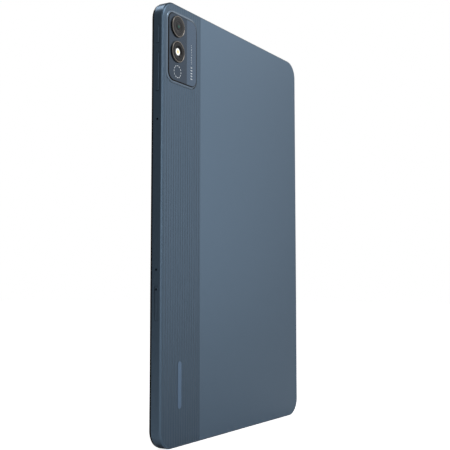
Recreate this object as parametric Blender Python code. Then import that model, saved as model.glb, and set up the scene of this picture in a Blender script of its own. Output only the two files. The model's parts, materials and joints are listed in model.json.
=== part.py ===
"""A ten-inch tablet computer, built as an assembly of the pieces it comes apart into.

It stands upright on its short lower edge. +Z runs up the long side to the rear camera, -Y points out
of the back cover and +Y out of the screen, and +X is to the right for someone looking at the back.
The origin is the middle of the lower edge, at half the body's thickness.

Depths are measured forward from the plane of the back cover, so a stack of layers reads as it is
built: back cover, boards and batteries, front frame, display, cover glass. Sizes and places below
are in millimetres, and become metres where a mesh is made.
"""

import math

import bmesh
import bpy
from mathutils import Vector

MM = 0.001  # metres

# Driving dimensions of the body.
BODY_WIDTH = 159.5
BODY_HEIGHT = 240.7
BODY_THICKNESS = 7.35
BODY_CORNER = 10.5
BACK_EDGE_ROUND = 0.85
WALL = 1.6
BACK_WALL = 1.0
HOUSING_DEPTH = 6.35
SEAT_GAP = 0.05
SLOT_GAP = 0.1

LEFT = -BODY_WIDTH / 2
RIGHT = BODY_WIDTH / 2
INNER_LEFT = LEFT + WALL
SIDE_CENTRE_DEPTH = 3.3

# Front stack, as depths from the back plane.
FRAME_PLATE = (4.3, 4.75)
BACKLIGHT = (4.85, 5.7)
LCD_CELL = (5.75, 6.45)
FRAME_TOP = 6.55
FRAME_LIP_UNDERSIDE = HOUSING_DEPTH + SEAT_GAP
COVER_GLASS = (6.6, BODY_THICKNESS)
DISPLAY_WIDTH = 139.0
DISPLAY_HEIGHT = 221.0
DISPLAY_POCKET_GAP = 0.7
FRAME_EDGE = 1.85
GLASS_EDGE = 0.3
FRONT_CAMERA_X = LEFT + 5.7
FRONT_CAMERA_HALF = 2.8

# Ribbed antenna cover let into the back along the long side that holds the buttons.
RIB_PANEL_MARGIN = 1.0
RIB_PANEL_WIDTH = 36.3
RIB_PANEL_THICKNESS = 0.5
RIB_PANEL_SEAT = 0.6
RIB_PITCH = 2.27
RIB_GROOVE_WIDTH = 0.5
RIB_GROOVE_DEPTH = 0.12

# Camera island: a raised rim, a plate inside it and two lens rings on the plate.
ISLAND_CENTRE_X = LEFT + 18.15
ISLAND_CENTRE_Z = BODY_HEIGHT - 24.85
RIM_WIDTH = 30.2
RIM_HEIGHT = 40.5
RIM_CORNER = 6.2
RIM_BAND = 1.3
RIM_PROUD = 0.4
PLATE_PROUD = 0.85
PLATE_GAP = 0.1
RING_X = LEFT + 12.75
RING_Z = (BODY_HEIGHT - 13.0, BODY_HEIGHT - 27.1)
RING_RADIUS = 6.0
RING_BORE = 5.3
RING_PROUD = 1.8
RING_NECK = 4.7
RING_LIGHT_PATH = 4.0

# Camera module behind the upper ring.
CAMERA_CAN_HALF = 4.3
CAMERA_CAN_DEPTHS = (0.65, 4.1)
BARREL_RADIUS = 3.0
BARREL_DEPTHS = (-0.7, 2.9)
BARREL_MOUTH = 1.9
FLASH_LENS_RADIUS = 2.3
FLASH_LENS_DEPTHS = (-1.15, -0.45)
FLASH_LED_DEPTHS = (-0.35, 0.5)

# Keys on the long side, as heights above the lower edge.
KEY_PROUD = 0.35
KEY_WIDTH = 1.8
POWER_Z = 221.05
POWER_LENGTH = 9.6
VOLUME_Z = 200.45
VOLUME_LENGTH = 21.0
VOLUME_PRESS_OFFSET = 7.5

# Card tray and its ejector.
TRAY_Z = 76.3
TRAY_LENGTH = 18.0
TRAY_WIDTH = 1.9
TRAY_INNER_END = LEFT + 23.35
EJECT_Z = 83.6
EJECT_HOLE = 0.6
LEVER_PIVOT_X = LEFT + 26.55
LEVER_PIVOT_Z = 79.6

MICROPHONE_Z = (174.5, 94.0)
MICROPHONE_HOLE = 0.6
SPEAKER_HOLES = 8
SPEAKER_HOLES_X = 29.0
SPEAKER_HOLE_PITCH = 2.4
SPEAKER_HOLE_RADIUS = 0.6
SOCKET_DEPTH = 3.15
CARD_SHELL_X = (LEFT + 2.15, LEFT + 29.35)
CARD_SHELL_DEPTHS = (2.2, 4.15)
CARD_SHELL_Z = (66.8, 85.2)
LEVER_DEPTHS = (2.7, 3.6)
BOSS_RADIUS = 1.5

# Boards and the screws that hold them, as X and Z.
BOARD = (1.25, 2.05)
BOARD_FLEX = (2.15, 2.3)
BOARD_SCREWS = ((-73.5, 182.5), (-43.5, 182.5), (-73.5, 99.0), (-43.5, 62.0))
SOCKET_BOARD_SCREWS = ((-17.0, 18.5), (17.0, 18.5))

# What lies in the housing: name, finish, spans in X, depth and Z, then the corner radius and the axis
# that the rounded corners run along.
SPEAKER_X = (22.0, 60.0)
INNER_BLOCKS = (
    ("processor_can", "can_steel", (-70.0, -44.0), (2.1, 3.85), (140.0, 172.0), 1.0, "Y"),
    ("radio_can", "can_steel", (-70.0, -44.0), (2.1, 3.85), (104.0, 134.0), 1.0, "Y"),
    ("power_can", "can_steel", (-49.0, -42.0), (2.1, 3.85), (68.0, 92.0), 1.0, "Y"),
    ("heat_spreader", "copper", (-71.0, -43.0), (3.9, 3.98), (103.0, 173.0), 0.0, "Y"),
    ("battery_cell_left", "pouch_foil", (-37.5, 16.0), (1.15, 4.15), (34.0, 196.0), 1.2, "Z"),
    ("battery_cell_right", "pouch_foil", (17.5, 71.0), (1.15, 4.15), (34.0, 196.0), 1.2, "Z"),
    ("battery_board", "board_green", (-30.0, 70.0), (1.5, 2.3), (197.0, 203.0), 0.0, "Y"),
    ("lower_speaker", "black_plastic", SPEAKER_X, (1.15, 4.15), (3.9, 22.0), 1.5, "Y"),
    ("upper_speaker", "black_plastic", SPEAKER_X, (1.15, 4.15), (218.7, 236.8), 1.5, "Y"),
    ("lower_speaker_mesh", "seal_rubber", (27.5, 47.4), (2.1, 4.15), (2.1, 3.6), 0.0, "Y"),
    ("upper_speaker_mesh", "seal_rubber", (27.5, 47.4), (2.1, 4.15), (237.1, 238.6), 0.0, "Y"),
    ("antenna_carrier", "black_plastic", (-76.0, -66.0), (1.3, 4.0), (6.0, 52.0), 1.0, "Y"),
    ("cellular_antenna", "copper", (-75.5, -66.5), (1.15, 1.25), (8.0, 49.0), 0.0, "Y"),
    ("wireless_antenna", "copper", (-55.0, -47.0), (1.15, 1.3), (198.0, 229.0), 0.0, "Y"),
)

COLOURS = {
    "anodised_blue": ((0.125, 0.175, 0.225, 1.0), 0.42, 0.55),
    "ribbed_blue": ((0.095, 0.135, 0.175, 1.0), 0.40, 0.25),
    "island_glass": ((0.060, 0.080, 0.105, 1.0), 0.15, 0.0),
    "rim_metal": ((0.20, 0.27, 0.35, 1.0), 0.28, 0.9),
    "ring_metal": ((0.12, 0.11, 0.10, 1.0), 0.25, 0.9),
    "black_glass": ((0.008, 0.008, 0.010, 1.0), 0.05, 0.0),
    "black_plastic": ((0.02, 0.02, 0.022, 1.0), 0.5, 0.0),
    "flash_white": ((0.9, 0.9, 0.85, 1.0), 0.3, 0.0),
    "lamp_phosphor": ((0.9, 0.7, 0.2, 1.0), 0.4, 0.0),
    "display_dark": ((0.012, 0.013, 0.016, 1.0), 0.2, 0.0),
    "white_film": ((0.75, 0.76, 0.78, 1.0), 0.5, 0.0),
    "board_green": ((0.02, 0.10, 0.06, 1.0), 0.5, 0.0),
    "can_steel": ((0.55, 0.56, 0.57, 1.0), 0.35, 1.0),
    "pouch_foil": ((0.10, 0.10, 0.11, 1.0), 0.45, 0.3),
    "flex_amber": ((0.35, 0.14, 0.03, 1.0), 0.4, 0.0),
    "copper": ((0.72, 0.38, 0.22, 1.0), 0.35, 1.0),
    "seal_rubber": ((0.02, 0.02, 0.02, 1.0), 0.8, 0.0),
    "screw_steel": ((0.30, 0.30, 0.31, 1.0), 0.3, 1.0),
}


def depth(value):
    """The Y coordinate of a depth measured forward from the plane of the back cover, in millimetres."""
    return value - BODY_THICKNESS / 2


def material(name):
    """The named Principled material, made once."""
    found = bpy.data.materials.get(name)
    if found:
        return found
    colour, roughness, metallic = COLOURS[name]
    made = bpy.data.materials.new(name)
    made.use_nodes = True
    made.diffuse_color = colour
    shader = made.node_tree.nodes["Principled BSDF"]
    shader.inputs["Base Color"].default_value = colour
    shader.inputs["Roughness"].default_value = roughness
    shader.inputs["Metallic"].default_value = metallic
    return made


def clear_scene():
    for old in list(bpy.data.objects):
        bpy.data.objects.remove(old, do_unlink=True)
    for old in list(bpy.data.collections):
        bpy.data.collections.remove(old)


def new_collection(name):
    made = bpy.data.collections.new(name)
    bpy.context.scene.collection.children.link(made)
    return made


def add_object(name, mesh, finish, location):
    """Links a mesh object; with no finish it is a cutter, which only shapes its neighbours."""
    made = bpy.data.objects.new(name, mesh)
    made.location = location
    bpy.data.collections["cutters" if finish is None else "tablet"].objects.link(made)
    if finish is None:
        made.hide_render = True
        made.display_type = "WIRE"
    else:
        mesh.materials.append(material(finish))
        mesh.shade_smooth()
        mesh.set_sharp_from_angle(angle=math.radians(35))
    return made


def finish_mesh(name, work):
    bmesh.ops.recalc_face_normals(work, faces=work.faces)
    mesh = bpy.data.meshes.new(name)
    work.to_mesh(mesh)
    work.free()
    return mesh


def block(name, finish, x, d, z, corner=0.0, along="Y", segments=4, edge=0.0, pivot=None):
    """A box between pairs of X, depth and Z. Its four edges along one axis are rounded by corner, and
    the rim of its rearmost face by edge. pivot moves the object's origin, for a piece that turns."""
    low = Vector((x[0], depth(d[0]), z[0])) * MM
    high = Vector((x[1], depth(d[1]), z[1])) * MM
    size = high - low
    centre = (high + low) / 2
    work = bmesh.new()
    bmesh.ops.create_cube(work, size=1.0)
    bmesh.ops.scale(work, vec=size, verts=work.verts)
    if corner:
        axis = "XYZ".index(along)
        sides = [side for side in work.edges if side.verts[0].co[axis] != side.verts[1].co[axis]]
        round_edges(work, sides, corner, segments)
    if edge:
        rear = min(vertex.co.y for vertex in work.verts)
        rim = [side for side in work.edges if max(vertex.co.y for vertex in side.verts) == rear]
        round_edges(work, rim, edge, 3)
    origin = Vector((pivot[0], depth(pivot[1]), pivot[2])) * MM if pivot else centre
    bmesh.ops.translate(work, vec=centre - origin, verts=work.verts)
    return add_object(name, finish_mesh(name, work), finish, origin)


def round_edges(work, edges, radius, segments):
    bmesh.ops.bevel(
        work,
        geom=edges,
        offset=radius * MM,
        segments=segments,
        profile=0.5,
        affect="EDGES",
    )


def cylinder(name, finish, radius, start, end, sides=24, radius_end=None):
    """A round bar or cone from one point to another, both given as X, depth, Z."""
    start = Vector((start[0], depth(start[1]), start[2])) * MM
    end = Vector((end[0], depth(end[1]), end[2])) * MM
    work = bmesh.new()
    bmesh.ops.create_cone(
        work,
        cap_ends=True,
        segments=sides,
        radius1=radius * MM,
        radius2=(radius if radius_end is None else radius_end) * MM,
        depth=(end - start).length,
    )
    made = add_object(name, finish_mesh(name, work), finish, (start + end) / 2)
    made.rotation_mode = "QUATERNION"
    made.rotation_quaternion = (end - start).to_track_quat("Z", "Y")
    return made


def boolean(target, tool, operation):
    step = target.modifiers.new(f"{operation.lower()}_{tool.name}", "BOOLEAN")
    step.operation = operation
    step.object = tool
    step.solver = "EXACT"


def cut(target, *tools):
    for tool in tools:
        boolean(target, tool, "DIFFERENCE")


def join(target, *tools):
    """Adds the tools' shapes to target, which stays one piece."""
    for tool in tools:
        boolean(target, tool, "UNION")


def side_slot(name, length, width, z):
    """A round-ended cutter through the long side's wall."""
    return block(
        name,
        None,
        (LEFT - 1.0, LEFT + WALL + 0.9),
        (SIDE_CENTRE_DEPTH - width / 2, SIDE_CENTRE_DEPTH + width / 2),
        (z - length / 2, z + length / 2),
        corner=0.49 * width,
        along="X",
    )


def rear_housing():
    """The aluminium tub: back wall and all four sides in one piece, with bosses for the boards."""
    housing = block(
        "rear_housing",
        "anodised_blue",
        (LEFT, RIGHT),
        (0.0, HOUSING_DEPTH),
        (0.0, BODY_HEIGHT),
        corner=BODY_CORNER,
        segments=7,
        edge=BACK_EDGE_ROUND,
    )
    pocket = block(
        "housing_pocket",
        None,
        (LEFT + WALL, RIGHT - WALL),
        (BACK_WALL, HOUSING_DEPTH + 1.0),
        (WALL, BODY_HEIGHT - WALL),
        corner=BODY_CORNER - WALL,
        segments=6,
    )
    panel_seat = rib_panel_outline("rib_panel_seat", None, (-1.0, RIB_PANEL_SEAT), SLOT_GAP)
    window = CAMERA_CAN_HALF + 0.5
    cut(housing, pocket, panel_seat)
    cut(
        housing,
        block("lower_radio_window", None, (-76.5, -45.0), (0.3, 1.5), (7.0, 52.5)),
        block("upper_radio_window", None, (-56.0, -46.0), (0.3, 1.5), (196.0, 231.0)),
        block(
            "camera_window",
            None,
            (RING_X - window, RING_X + window),
            (0.3, 1.5),
            (RING_Z[0] - window, RING_Z[0] + window),
        ),
        cylinder(
            "flash_window",
            None,
            3.2,
            (RING_X, 0.3, RING_Z[1]),
            (RING_X, 1.5, RING_Z[1]),
        ),
        side_slot("power_slot", POWER_LENGTH + 2 * SLOT_GAP, KEY_WIDTH + 2 * SLOT_GAP, POWER_Z),
        side_slot("volume_slot", VOLUME_LENGTH + 4 * SLOT_GAP, KEY_WIDTH + 2 * SLOT_GAP, VOLUME_Z),
        side_slot("tray_slot", TRAY_LENGTH + 2 * SLOT_GAP, TRAY_WIDTH + 2 * SLOT_GAP, TRAY_Z),
        block(
            "usb_mouth",
            None,
            (-4.6, 4.6),
            (SOCKET_DEPTH - 1.72, SOCKET_DEPTH + 1.72),
            (-1.0, WALL + 1.0),
            corner=1.65,
            along="Z",
        ),
    )
    for index, z in enumerate(MICROPHONE_Z):
        hole = cylinder(
            f"microphone_hole_{index + 1}",
            None,
            MICROPHONE_HOLE,
            (LEFT - 1.0, SIDE_CENTRE_DEPTH, z),
            (LEFT + 2.5, SIDE_CENTRE_DEPTH, z),
            sides=12,
        )
        cut(housing, hole)
    cut(housing, *speaker_holes("lower_speaker_hole", 0.0))
    cut(housing, *speaker_holes("upper_speaker_hole", BODY_HEIGHT))
    for index, (x, z) in enumerate(BOARD_SCREWS + SOCKET_BOARD_SCREWS):
        boss = cylinder(
            f"boss_{index + 1}",
            None,
            BOSS_RADIUS,
            (x, BACK_WALL - 0.3, z),
            (x, BOARD[1], z),
            sides=16,
        )
        thread = cylinder(
            f"thread_{index + 1}",
            None,
            0.75,
            (x, BACK_WALL + 0.1, z),
            (x, BOARD[1] + 1.0, z),
            sides=12,
        )
        join(housing, boss)
        cut(housing, thread)


def speaker_holes(name, edge_z):
    """A row of round holes through a short side, in front of a loudspeaker's outlet."""
    holes = []
    for index in range(SPEAKER_HOLES):
        x = SPEAKER_HOLES_X + SPEAKER_HOLE_PITCH * index
        low = (x, SIDE_CENTRE_DEPTH, edge_z - WALL - 0.2)
        high = (x, SIDE_CENTRE_DEPTH, edge_z + WALL + 0.2)
        holes.append(cylinder(f"{name}_{index + 1}", None, SPEAKER_HOLE_RADIUS, low, high, sides=10))
    return holes


def rib_panel_outline(name, finish, d, grow):
    """The antenna cover's outline: round at the body's corners, square along its inner edge. A block
    twice as wide is rounded at all four corners and its inner half is cut away."""
    low_x = LEFT + RIB_PANEL_MARGIN - grow
    inner_x = LEFT + RIB_PANEL_MARGIN + RIB_PANEL_WIDTH + grow
    panel = block(
        name,
        finish,
        (low_x, inner_x + RIB_PANEL_WIDTH),
        d,
        (RIB_PANEL_MARGIN - grow, BODY_HEIGHT - RIB_PANEL_MARGIN + grow),
        corner=BODY_CORNER - RIB_PANEL_MARGIN + grow,
        segments=7,
    )
    spare = block(
        f"{name}_spare_half",
        None,
        (inner_x, inner_x + 2 * RIB_PANEL_WIDTH),
        (d[0] - 1.0, d[1] + 1.0),
        (-1.0, BODY_HEIGHT + 1.0),
    )
    cut(panel, spare)
    return panel


def rib_groove(name, x):
    """One V-shaped groove along the whole height of the antenna cover, as a square bar on its edge."""
    bar = cylinder(name, None, RIB_GROOVE_DEPTH, (x, 0.0, -1.0), (x, 0.0, BODY_HEIGHT + 1.0), sides=4)
    bar.scale.x = RIB_GROOVE_WIDTH / (2 * RIB_GROOVE_DEPTH)
    return bar


def ribbed_panel():
    """The antenna cover, with its fine upright ribs and the opening that the camera's plate fills."""
    panel = rib_panel_outline("ribbed_panel", "ribbed_blue", (0.0, RIB_PANEL_THICKNESS), 0.0)
    count = int(RIB_PANEL_WIDTH / RIB_PITCH)
    first = LEFT + RIB_PANEL_MARGIN + (RIB_PANEL_WIDTH - (count - 1) * RIB_PITCH) / 2
    for index in range(count):
        cut(panel, rib_groove(f"rib_groove_{index + 1}", first + index * RIB_PITCH))
    cut(panel, rim_block("rib_panel_opening", None, (-1.0, 1.0), -RIM_BAND / 2))


def rim_block(name, finish, d, grow, edge=0.0):
    """A block with the camera island's outline, grown or shrunk all round."""
    return block(
        name,
        finish,
        (ISLAND_CENTRE_X - RIM_WIDTH / 2 - grow, ISLAND_CENTRE_X + RIM_WIDTH / 2 + grow),
        d,
        (ISLAND_CENTRE_Z - RIM_HEIGHT / 2 - grow, ISLAND_CENTRE_Z + RIM_HEIGHT / 2 + grow),
        corner=RIM_CORNER + grow,
        segments=6,
        edge=edge,
    )


def camera_island():
    """The rim and plate, the two lens rings with their glasses, and the flash."""
    rim = rim_block("camera_rim", "rim_metal", (-RIM_PROUD, -SEAT_GAP), 0.0, edge=0.3)
    cut(rim, rim_block("rim_bore", None, (-2.0, 1.0), -RIM_BAND))
    plate_inset = -RIM_BAND - PLATE_GAP
    plate_depths = (-PLATE_PROUD, RIB_PANEL_THICKNESS)
    plate = rim_block("camera_plate", "island_glass", plate_depths, plate_inset, edge=0.15)
    for index, z in enumerate(RING_Z):
        bore = cylinder(
            f"plate_bore_{index + 1}",
            None,
            RING_NECK + SEAT_GAP,
            (RING_X, -2.0, z),
            (RING_X, 1.0, z),
            sides=36,
        )
        cut(plate, bore)
    for label, z in zip(("main", "flash"), RING_Z):
        ring = cylinder(
            f"lens_ring_{label}",
            "ring_metal",
            RING_RADIUS,
            (RING_X, -PLATE_PROUD - SEAT_GAP, z),
            (RING_X, -RING_PROUD, z),
            sides=36,
            radius_end=RING_RADIUS - 0.15,
        )
        neck = cylinder(
            f"ring_neck_{label}",
            None,
            RING_NECK,
            (RING_X, -PLATE_PROUD - 0.3, z),
            (RING_X, RIB_PANEL_THICKNESS, z),
            sides=36,
        )
        seat = cylinder(
            f"ring_seat_{label}",
            None,
            RING_BORE,
            (RING_X, -RING_PROUD - 1.0, z),
            (RING_X, -RING_PROUD + 0.7, z),
            sides=36,
        )
        bore = cylinder(
            f"ring_bore_{label}",
            None,
            RING_LIGHT_PATH,
            (RING_X, -3.0, z),
            (RING_X, 1.0, z),
            sides=36,
        )
        join(ring, neck)
        cut(ring, seat, bore)
    glass_depths = (-RING_PROUD + 0.1, -RING_PROUD + 0.65)
    glass = {}
    for label, z in zip(("main", "flash"), RING_Z):
        glass[label] = cylinder(
            f"lens_glass_{label}",
            "black_glass",
            RING_BORE - SEAT_GAP,
            (RING_X, glass_depths[1], z),
            (RING_X, glass_depths[0], z),
            sides=36,
        )
    z = RING_Z[1]
    lens_hole = FLASH_LENS_RADIUS + SEAT_GAP
    flash_hole = cylinder("flash_hole", None, lens_hole, (RING_X, -3.0, z), (RING_X, 1.0, z))
    cut(glass["flash"], flash_hole)
    lens_under = (RING_X, FLASH_LENS_DEPTHS[1], z)
    lens_face = (RING_X, FLASH_LENS_DEPTHS[0], z)
    cylinder("flash_lens", "flash_white", FLASH_LENS_RADIUS, lens_under, lens_face)
    led = block(
        "flash_led",
        "lamp_phosphor",
        (RING_X - 1.2, RING_X + 1.2),
        FLASH_LED_DEPTHS,
        (z - 1.2, z + 1.2),
    )
    carrier = block(
        "flash_carrier",
        None,
        (RING_X - 2.0, RING_X + 2.0),
        (0.4, 0.6),
        (z - 2.4, z + 1.8),
    )
    join(led, carrier)


def rear_camera():
    """The camera module: a square can, and the lens barrel that its focus motor moves in and out."""
    z = RING_Z[0]
    can = block(
        "rear_camera_can",
        "can_steel",
        (RING_X - CAMERA_CAN_HALF, RING_X + CAMERA_CAN_HALF),
        CAMERA_CAN_DEPTHS,
        (z - CAMERA_CAN_HALF, z + CAMERA_CAN_HALF),
        corner=0.5,
        segments=2,
    )
    cut(can, cylinder("camera_can_bore", None, BARREL_RADIUS + 0.2, (RING_X, -1.0, z), (RING_X, 3.3, z)))
    barrel = cylinder(
        "focus_barrel",
        "black_plastic",
        BARREL_RADIUS,
        (RING_X, BARREL_DEPTHS[1], z),
        (RING_X, BARREL_DEPTHS[0], z),
    )
    cut(barrel, cylinder("barrel_mouth", None, BARREL_MOUTH, (RING_X, 0.2, z), (RING_X, -1.5, z)))
    block(
        "rear_camera_flex",
        "flex_amber",
        (RING_X - 2.5, RING_X + 2.5),
        (3.7, 3.85),
        (188.0, z - CAMERA_CAN_HALF - 0.1),
    )


def front_assembly():
    """Front frame, backlight, LCD cell, cover glass, front camera and the display's flex."""
    frame = block(
        "front_frame",
        "black_plastic",
        (LEFT + FRAME_EDGE, RIGHT - FRAME_EDGE),
        (FRAME_PLATE[0], FRAME_TOP),
        (FRAME_EDGE, BODY_HEIGHT - FRAME_EDGE),
        corner=BODY_CORNER - FRAME_EDGE,
        segments=6,
    )
    lip = block(
        "frame_lip",
        None,
        (LEFT + GLASS_EDGE, RIGHT - GLASS_EDGE),
        (FRAME_LIP_UNDERSIDE, FRAME_TOP),
        (GLASS_EDGE, BODY_HEIGHT - GLASS_EDGE),
        corner=BODY_CORNER - GLASS_EDGE,
        segments=7,
    )
    join(frame, lip)
    pocket_x = DISPLAY_WIDTH / 2 + DISPLAY_POCKET_GAP
    pocket_z = DISPLAY_HEIGHT / 2 + DISPLAY_POCKET_GAP
    mid_z = BODY_HEIGHT / 2
    pocket = FRONT_CAMERA_HALF + 0.2
    cut(
        frame,
        block(
            "display_pocket",
            None,
            (-pocket_x, pocket_x),
            (FRAME_PLATE[1], FRAME_TOP + 1.0),
            (mid_z - pocket_z, mid_z + pocket_z),
        ),
        block(
            "front_camera_pocket",
            None,
            (FRONT_CAMERA_X - pocket, FRONT_CAMERA_X + pocket),
            (3.0, FRAME_TOP + 1.0),
            (mid_z - pocket, mid_z + pocket),
        ),
        block("display_flex_slot", None, (-70.15, -69.0), (4.0, 5.0), (131, 163)),
        block("usb_relief", None, (-5.2, 5.2), (4.0, SOCKET_DEPTH + 1.8), (0.0, 9.2)),
    )
    display_x = (-DISPLAY_WIDTH / 2, DISPLAY_WIDTH / 2)
    display_z = (mid_z - DISPLAY_HEIGHT / 2, mid_z + DISPLAY_HEIGHT / 2)
    block("backlight", "white_film", display_x, BACKLIGHT, display_z)
    block("lcd_cell", "display_dark", display_x, LCD_CELL, display_z)
    block(
        "cover_glass",
        "black_glass",
        (LEFT + GLASS_EDGE, RIGHT - GLASS_EDGE),
        COVER_GLASS,
        (GLASS_EDGE, BODY_HEIGHT - GLASS_EDGE),
        corner=BODY_CORNER - GLASS_EDGE,
        segments=7,
    )
    block(
        "front_camera",
        "can_steel",
        (FRONT_CAMERA_X - FRONT_CAMERA_HALF, FRONT_CAMERA_X + FRONT_CAMERA_HALF),
        (3.9, FRAME_TOP - 0.1),
        (mid_z - FRONT_CAMERA_HALF, mid_z + FRONT_CAMERA_HALF),
    )
    flex = block("display_flex", "flex_amber", (-69.95, -69.8), (4.05, 6.2), (132.0, 162.0))
    join(flex, block("display_flex_tail", None, (-69.95, -60.0), (4.05, 4.17), (132.0, 162.0)))


def key_cap(name, z, length, flange_x, nub_offsets, flange_thickness=0.45):
    """A key's cap, the flange that keeps it in the wall and the nubs that press its switches. Its origin
    is on the cap's centre line in the wall, where the rocker's turning axis lies."""
    pivot = (LEFT + WALL / 2, SIDE_CENTRE_DEPTH, z)
    half = KEY_WIDTH / 2
    cap = block(
        name,
        "anodised_blue",
        (LEFT - KEY_PROUD, flange_x + 0.1),
        (SIDE_CENTRE_DEPTH - half, SIDE_CENTRE_DEPTH + half),
        (z - length / 2, z + length / 2),
        corner=0.49 * KEY_WIDTH,
        along="X",
        segments=6,
        pivot=pivot,
    )
    flange = block(
        f"{name}_flange",
        None,
        (flange_x, flange_x + flange_thickness),
        (SIDE_CENTRE_DEPTH - 0.9, SIDE_CENTRE_DEPTH + 0.9),
        (z - length / 2 - 1.1, z + length / 2 + 1.1),
    )
    join(cap, flange)
    for index, offset in enumerate(nub_offsets):
        nub = cylinder(
            f"{name}_nub_{index + 1}",
            None,
            0.7,
            (flange_x + flange_thickness - 0.1, SIDE_CENTRE_DEPTH, z + offset),
            (flange_x + flange_thickness + 0.2, SIDE_CENTRE_DEPTH, z + offset),
            sides=12,
        )
        join(cap, nub)


def key_switch(name, z):
    cylinder(
        name,
        "can_steel",
        1.1,
        (INNER_LEFT + 1.5, SIDE_CENTRE_DEPTH - 0.3, z),
        (INNER_LEFT + 1.1, SIDE_CENTRE_DEPTH - 0.3, z),
        sides=16,
        radius_end=0.8,
    )


def keys():
    """Power button and volume rocker, their three dome switches, the flex and its steel backing."""
    key_cap("power_button", POWER_Z, POWER_LENGTH, INNER_LEFT + SEAT_GAP, (0.0,), flange_thickness=0.5)
    ends = (-VOLUME_PRESS_OFFSET, VOLUME_PRESS_OFFSET)
    key_cap("volume_rocker", VOLUME_Z, VOLUME_LENGTH, INNER_LEFT + 0.3, ends)
    key_switch("power_switch", POWER_Z)
    key_switch("volume_up_switch", VOLUME_Z + VOLUME_PRESS_OFFSET)
    key_switch("volume_down_switch", VOLUME_Z - VOLUME_PRESS_OFFSET)
    strip_z = (187.5, 228.0)
    block("key_flex", "flex_amber", (INNER_LEFT + 1.55, INNER_LEFT + 1.7), (1.5, 4.1), strip_z)
    block("key_bracket", "can_steel", (INNER_LEFT + 1.75, INNER_LEFT + 2.15), (1.3, 4.1), strip_z)


def card_reader():
    """Card tray with its seal, the reader shell around it, and the ejector rod, lever and pivot."""
    half = TRAY_WIDTH / 2
    face_back = LEFT + 1.0
    neck_back = LEFT + 1.75
    tray = block(
        "card_tray",
        "anodised_blue",
        (LEFT, face_back),
        (SIDE_CENTRE_DEPTH - half, SIDE_CENTRE_DEPTH + half),
        (TRAY_Z - TRAY_LENGTH / 2, TRAY_Z + TRAY_LENGTH / 2),
        corner=0.49 * TRAY_WIDTH,
        along="X",
        segments=6,
    )
    neck = block(
        "tray_neck",
        None,
        (face_back - 0.1, neck_back),
        (SIDE_CENTRE_DEPTH - 0.55, SIDE_CENTRE_DEPTH + 0.55),
        (TRAY_Z - 8.3, TRAY_Z + 8.3),
    )
    carrier_z = (TRAY_Z - 7.7, TRAY_Z + 5.7)
    carrier = block(
        "tray_carrier",
        None,
        (neck_back - 0.1, TRAY_INNER_END),
        (SIDE_CENTRE_DEPTH - 0.5, SIDE_CENTRE_DEPTH + 0.4),
        carrier_z,
    )
    join(tray, neck, carrier)
    cut(
        tray,
        block(
            "card_pocket",
            None,
            (neck_back + 2.0, TRAY_INNER_END - 1.5),
            (SIDE_CENTRE_DEPTH - 0.3, SIDE_CENTRE_DEPTH + 1.0),
            (carrier_z[0] + 1.2, carrier_z[1] - 1.2),
        ),
        block(
            "contact_window",
            None,
            (neck_back + 4.0, TRAY_INNER_END - 3.5),
            (SIDE_CENTRE_DEPTH - 1.0, SIDE_CENTRE_DEPTH + 1.0),
            (carrier_z[0] + 2.4, carrier_z[1] - 2.4),
        ),
        cylinder(
            "eject_hole",
            None,
            EJECT_HOLE,
            (LEFT - 1.0, SIDE_CENTRE_DEPTH, EJECT_Z),
            (neck_back + 1.0, SIDE_CENTRE_DEPTH, EJECT_Z),
            sides=12,
        ),
    )
    seal = block(
        "tray_seal",
        "seal_rubber",
        (face_back + 0.1, neck_back - 0.15),
        (SIDE_CENTRE_DEPTH - 0.95, SIDE_CENTRE_DEPTH + 0.95),
        (TRAY_Z - 8.9, TRAY_Z + 8.9),
        corner=0.9,
        along="X",
    )
    cut(
        seal,
        block(
            "seal_bore",
            None,
            (LEFT, LEFT + 3.0),
            (SIDE_CENTRE_DEPTH - 0.62, SIDE_CENTRE_DEPTH + 0.62),
            (TRAY_Z - 8.37, TRAY_Z + 8.37),
        ),
    )
    shell = block(
        "card_reader_shell",
        "can_steel",
        CARD_SHELL_X,
        CARD_SHELL_DEPTHS,
        CARD_SHELL_Z,
    )
    cut(
        shell,
        block(
            "shell_bore",
            None,
            (LEFT, CARD_SHELL_X[1] - 0.35),
            (CARD_SHELL_DEPTHS[0] + 0.25, CARD_SHELL_DEPTHS[1] - 0.2),
            (CARD_SHELL_Z[0] + 0.4, CARD_SHELL_Z[1] - 0.4),
        ),
    )
    cylinder(
        "eject_rod",
        "can_steel",
        0.4,
        (neck_back + 0.1, SIDE_CENTRE_DEPTH, EJECT_Z),
        (LEVER_PIVOT_X - 0.8, SIDE_CENTRE_DEPTH, EJECT_Z),
        sides=12,
    )
    pivot = (LEVER_PIVOT_X, SIDE_CENTRE_DEPTH, LEVER_PIVOT_Z)
    lever = block(
        "eject_lever",
        "can_steel",
        (LEVER_PIVOT_X - 0.5, LEVER_PIVOT_X + 0.5),
        LEVER_DEPTHS,
        (LEVER_PIVOT_Z - 6.7, LEVER_PIVOT_Z + 4.6),
        corner=0.45,
        along="Y",
        pivot=pivot,
    )
    boss = cylinder(
        "lever_boss",
        None,
        1.0,
        (LEVER_PIVOT_X, LEVER_DEPTHS[0], LEVER_PIVOT_Z),
        (LEVER_PIVOT_X, LEVER_DEPTHS[1], LEVER_PIVOT_Z),
    )
    bore = cylinder(
        "lever_bore",
        None,
        0.45,
        (LEVER_PIVOT_X, 2.0, LEVER_PIVOT_Z),
        (LEVER_PIVOT_X, 4.5, LEVER_PIVOT_Z),
    )
    join(lever, boss)
    cut(lever, bore)
    cylinder(
        "lever_pivot",
        "can_steel",
        0.4,
        (LEVER_PIVOT_X, 2.5, LEVER_PIVOT_Z),
        (LEVER_PIVOT_X, 3.9, LEVER_PIVOT_Z),
    )


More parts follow.
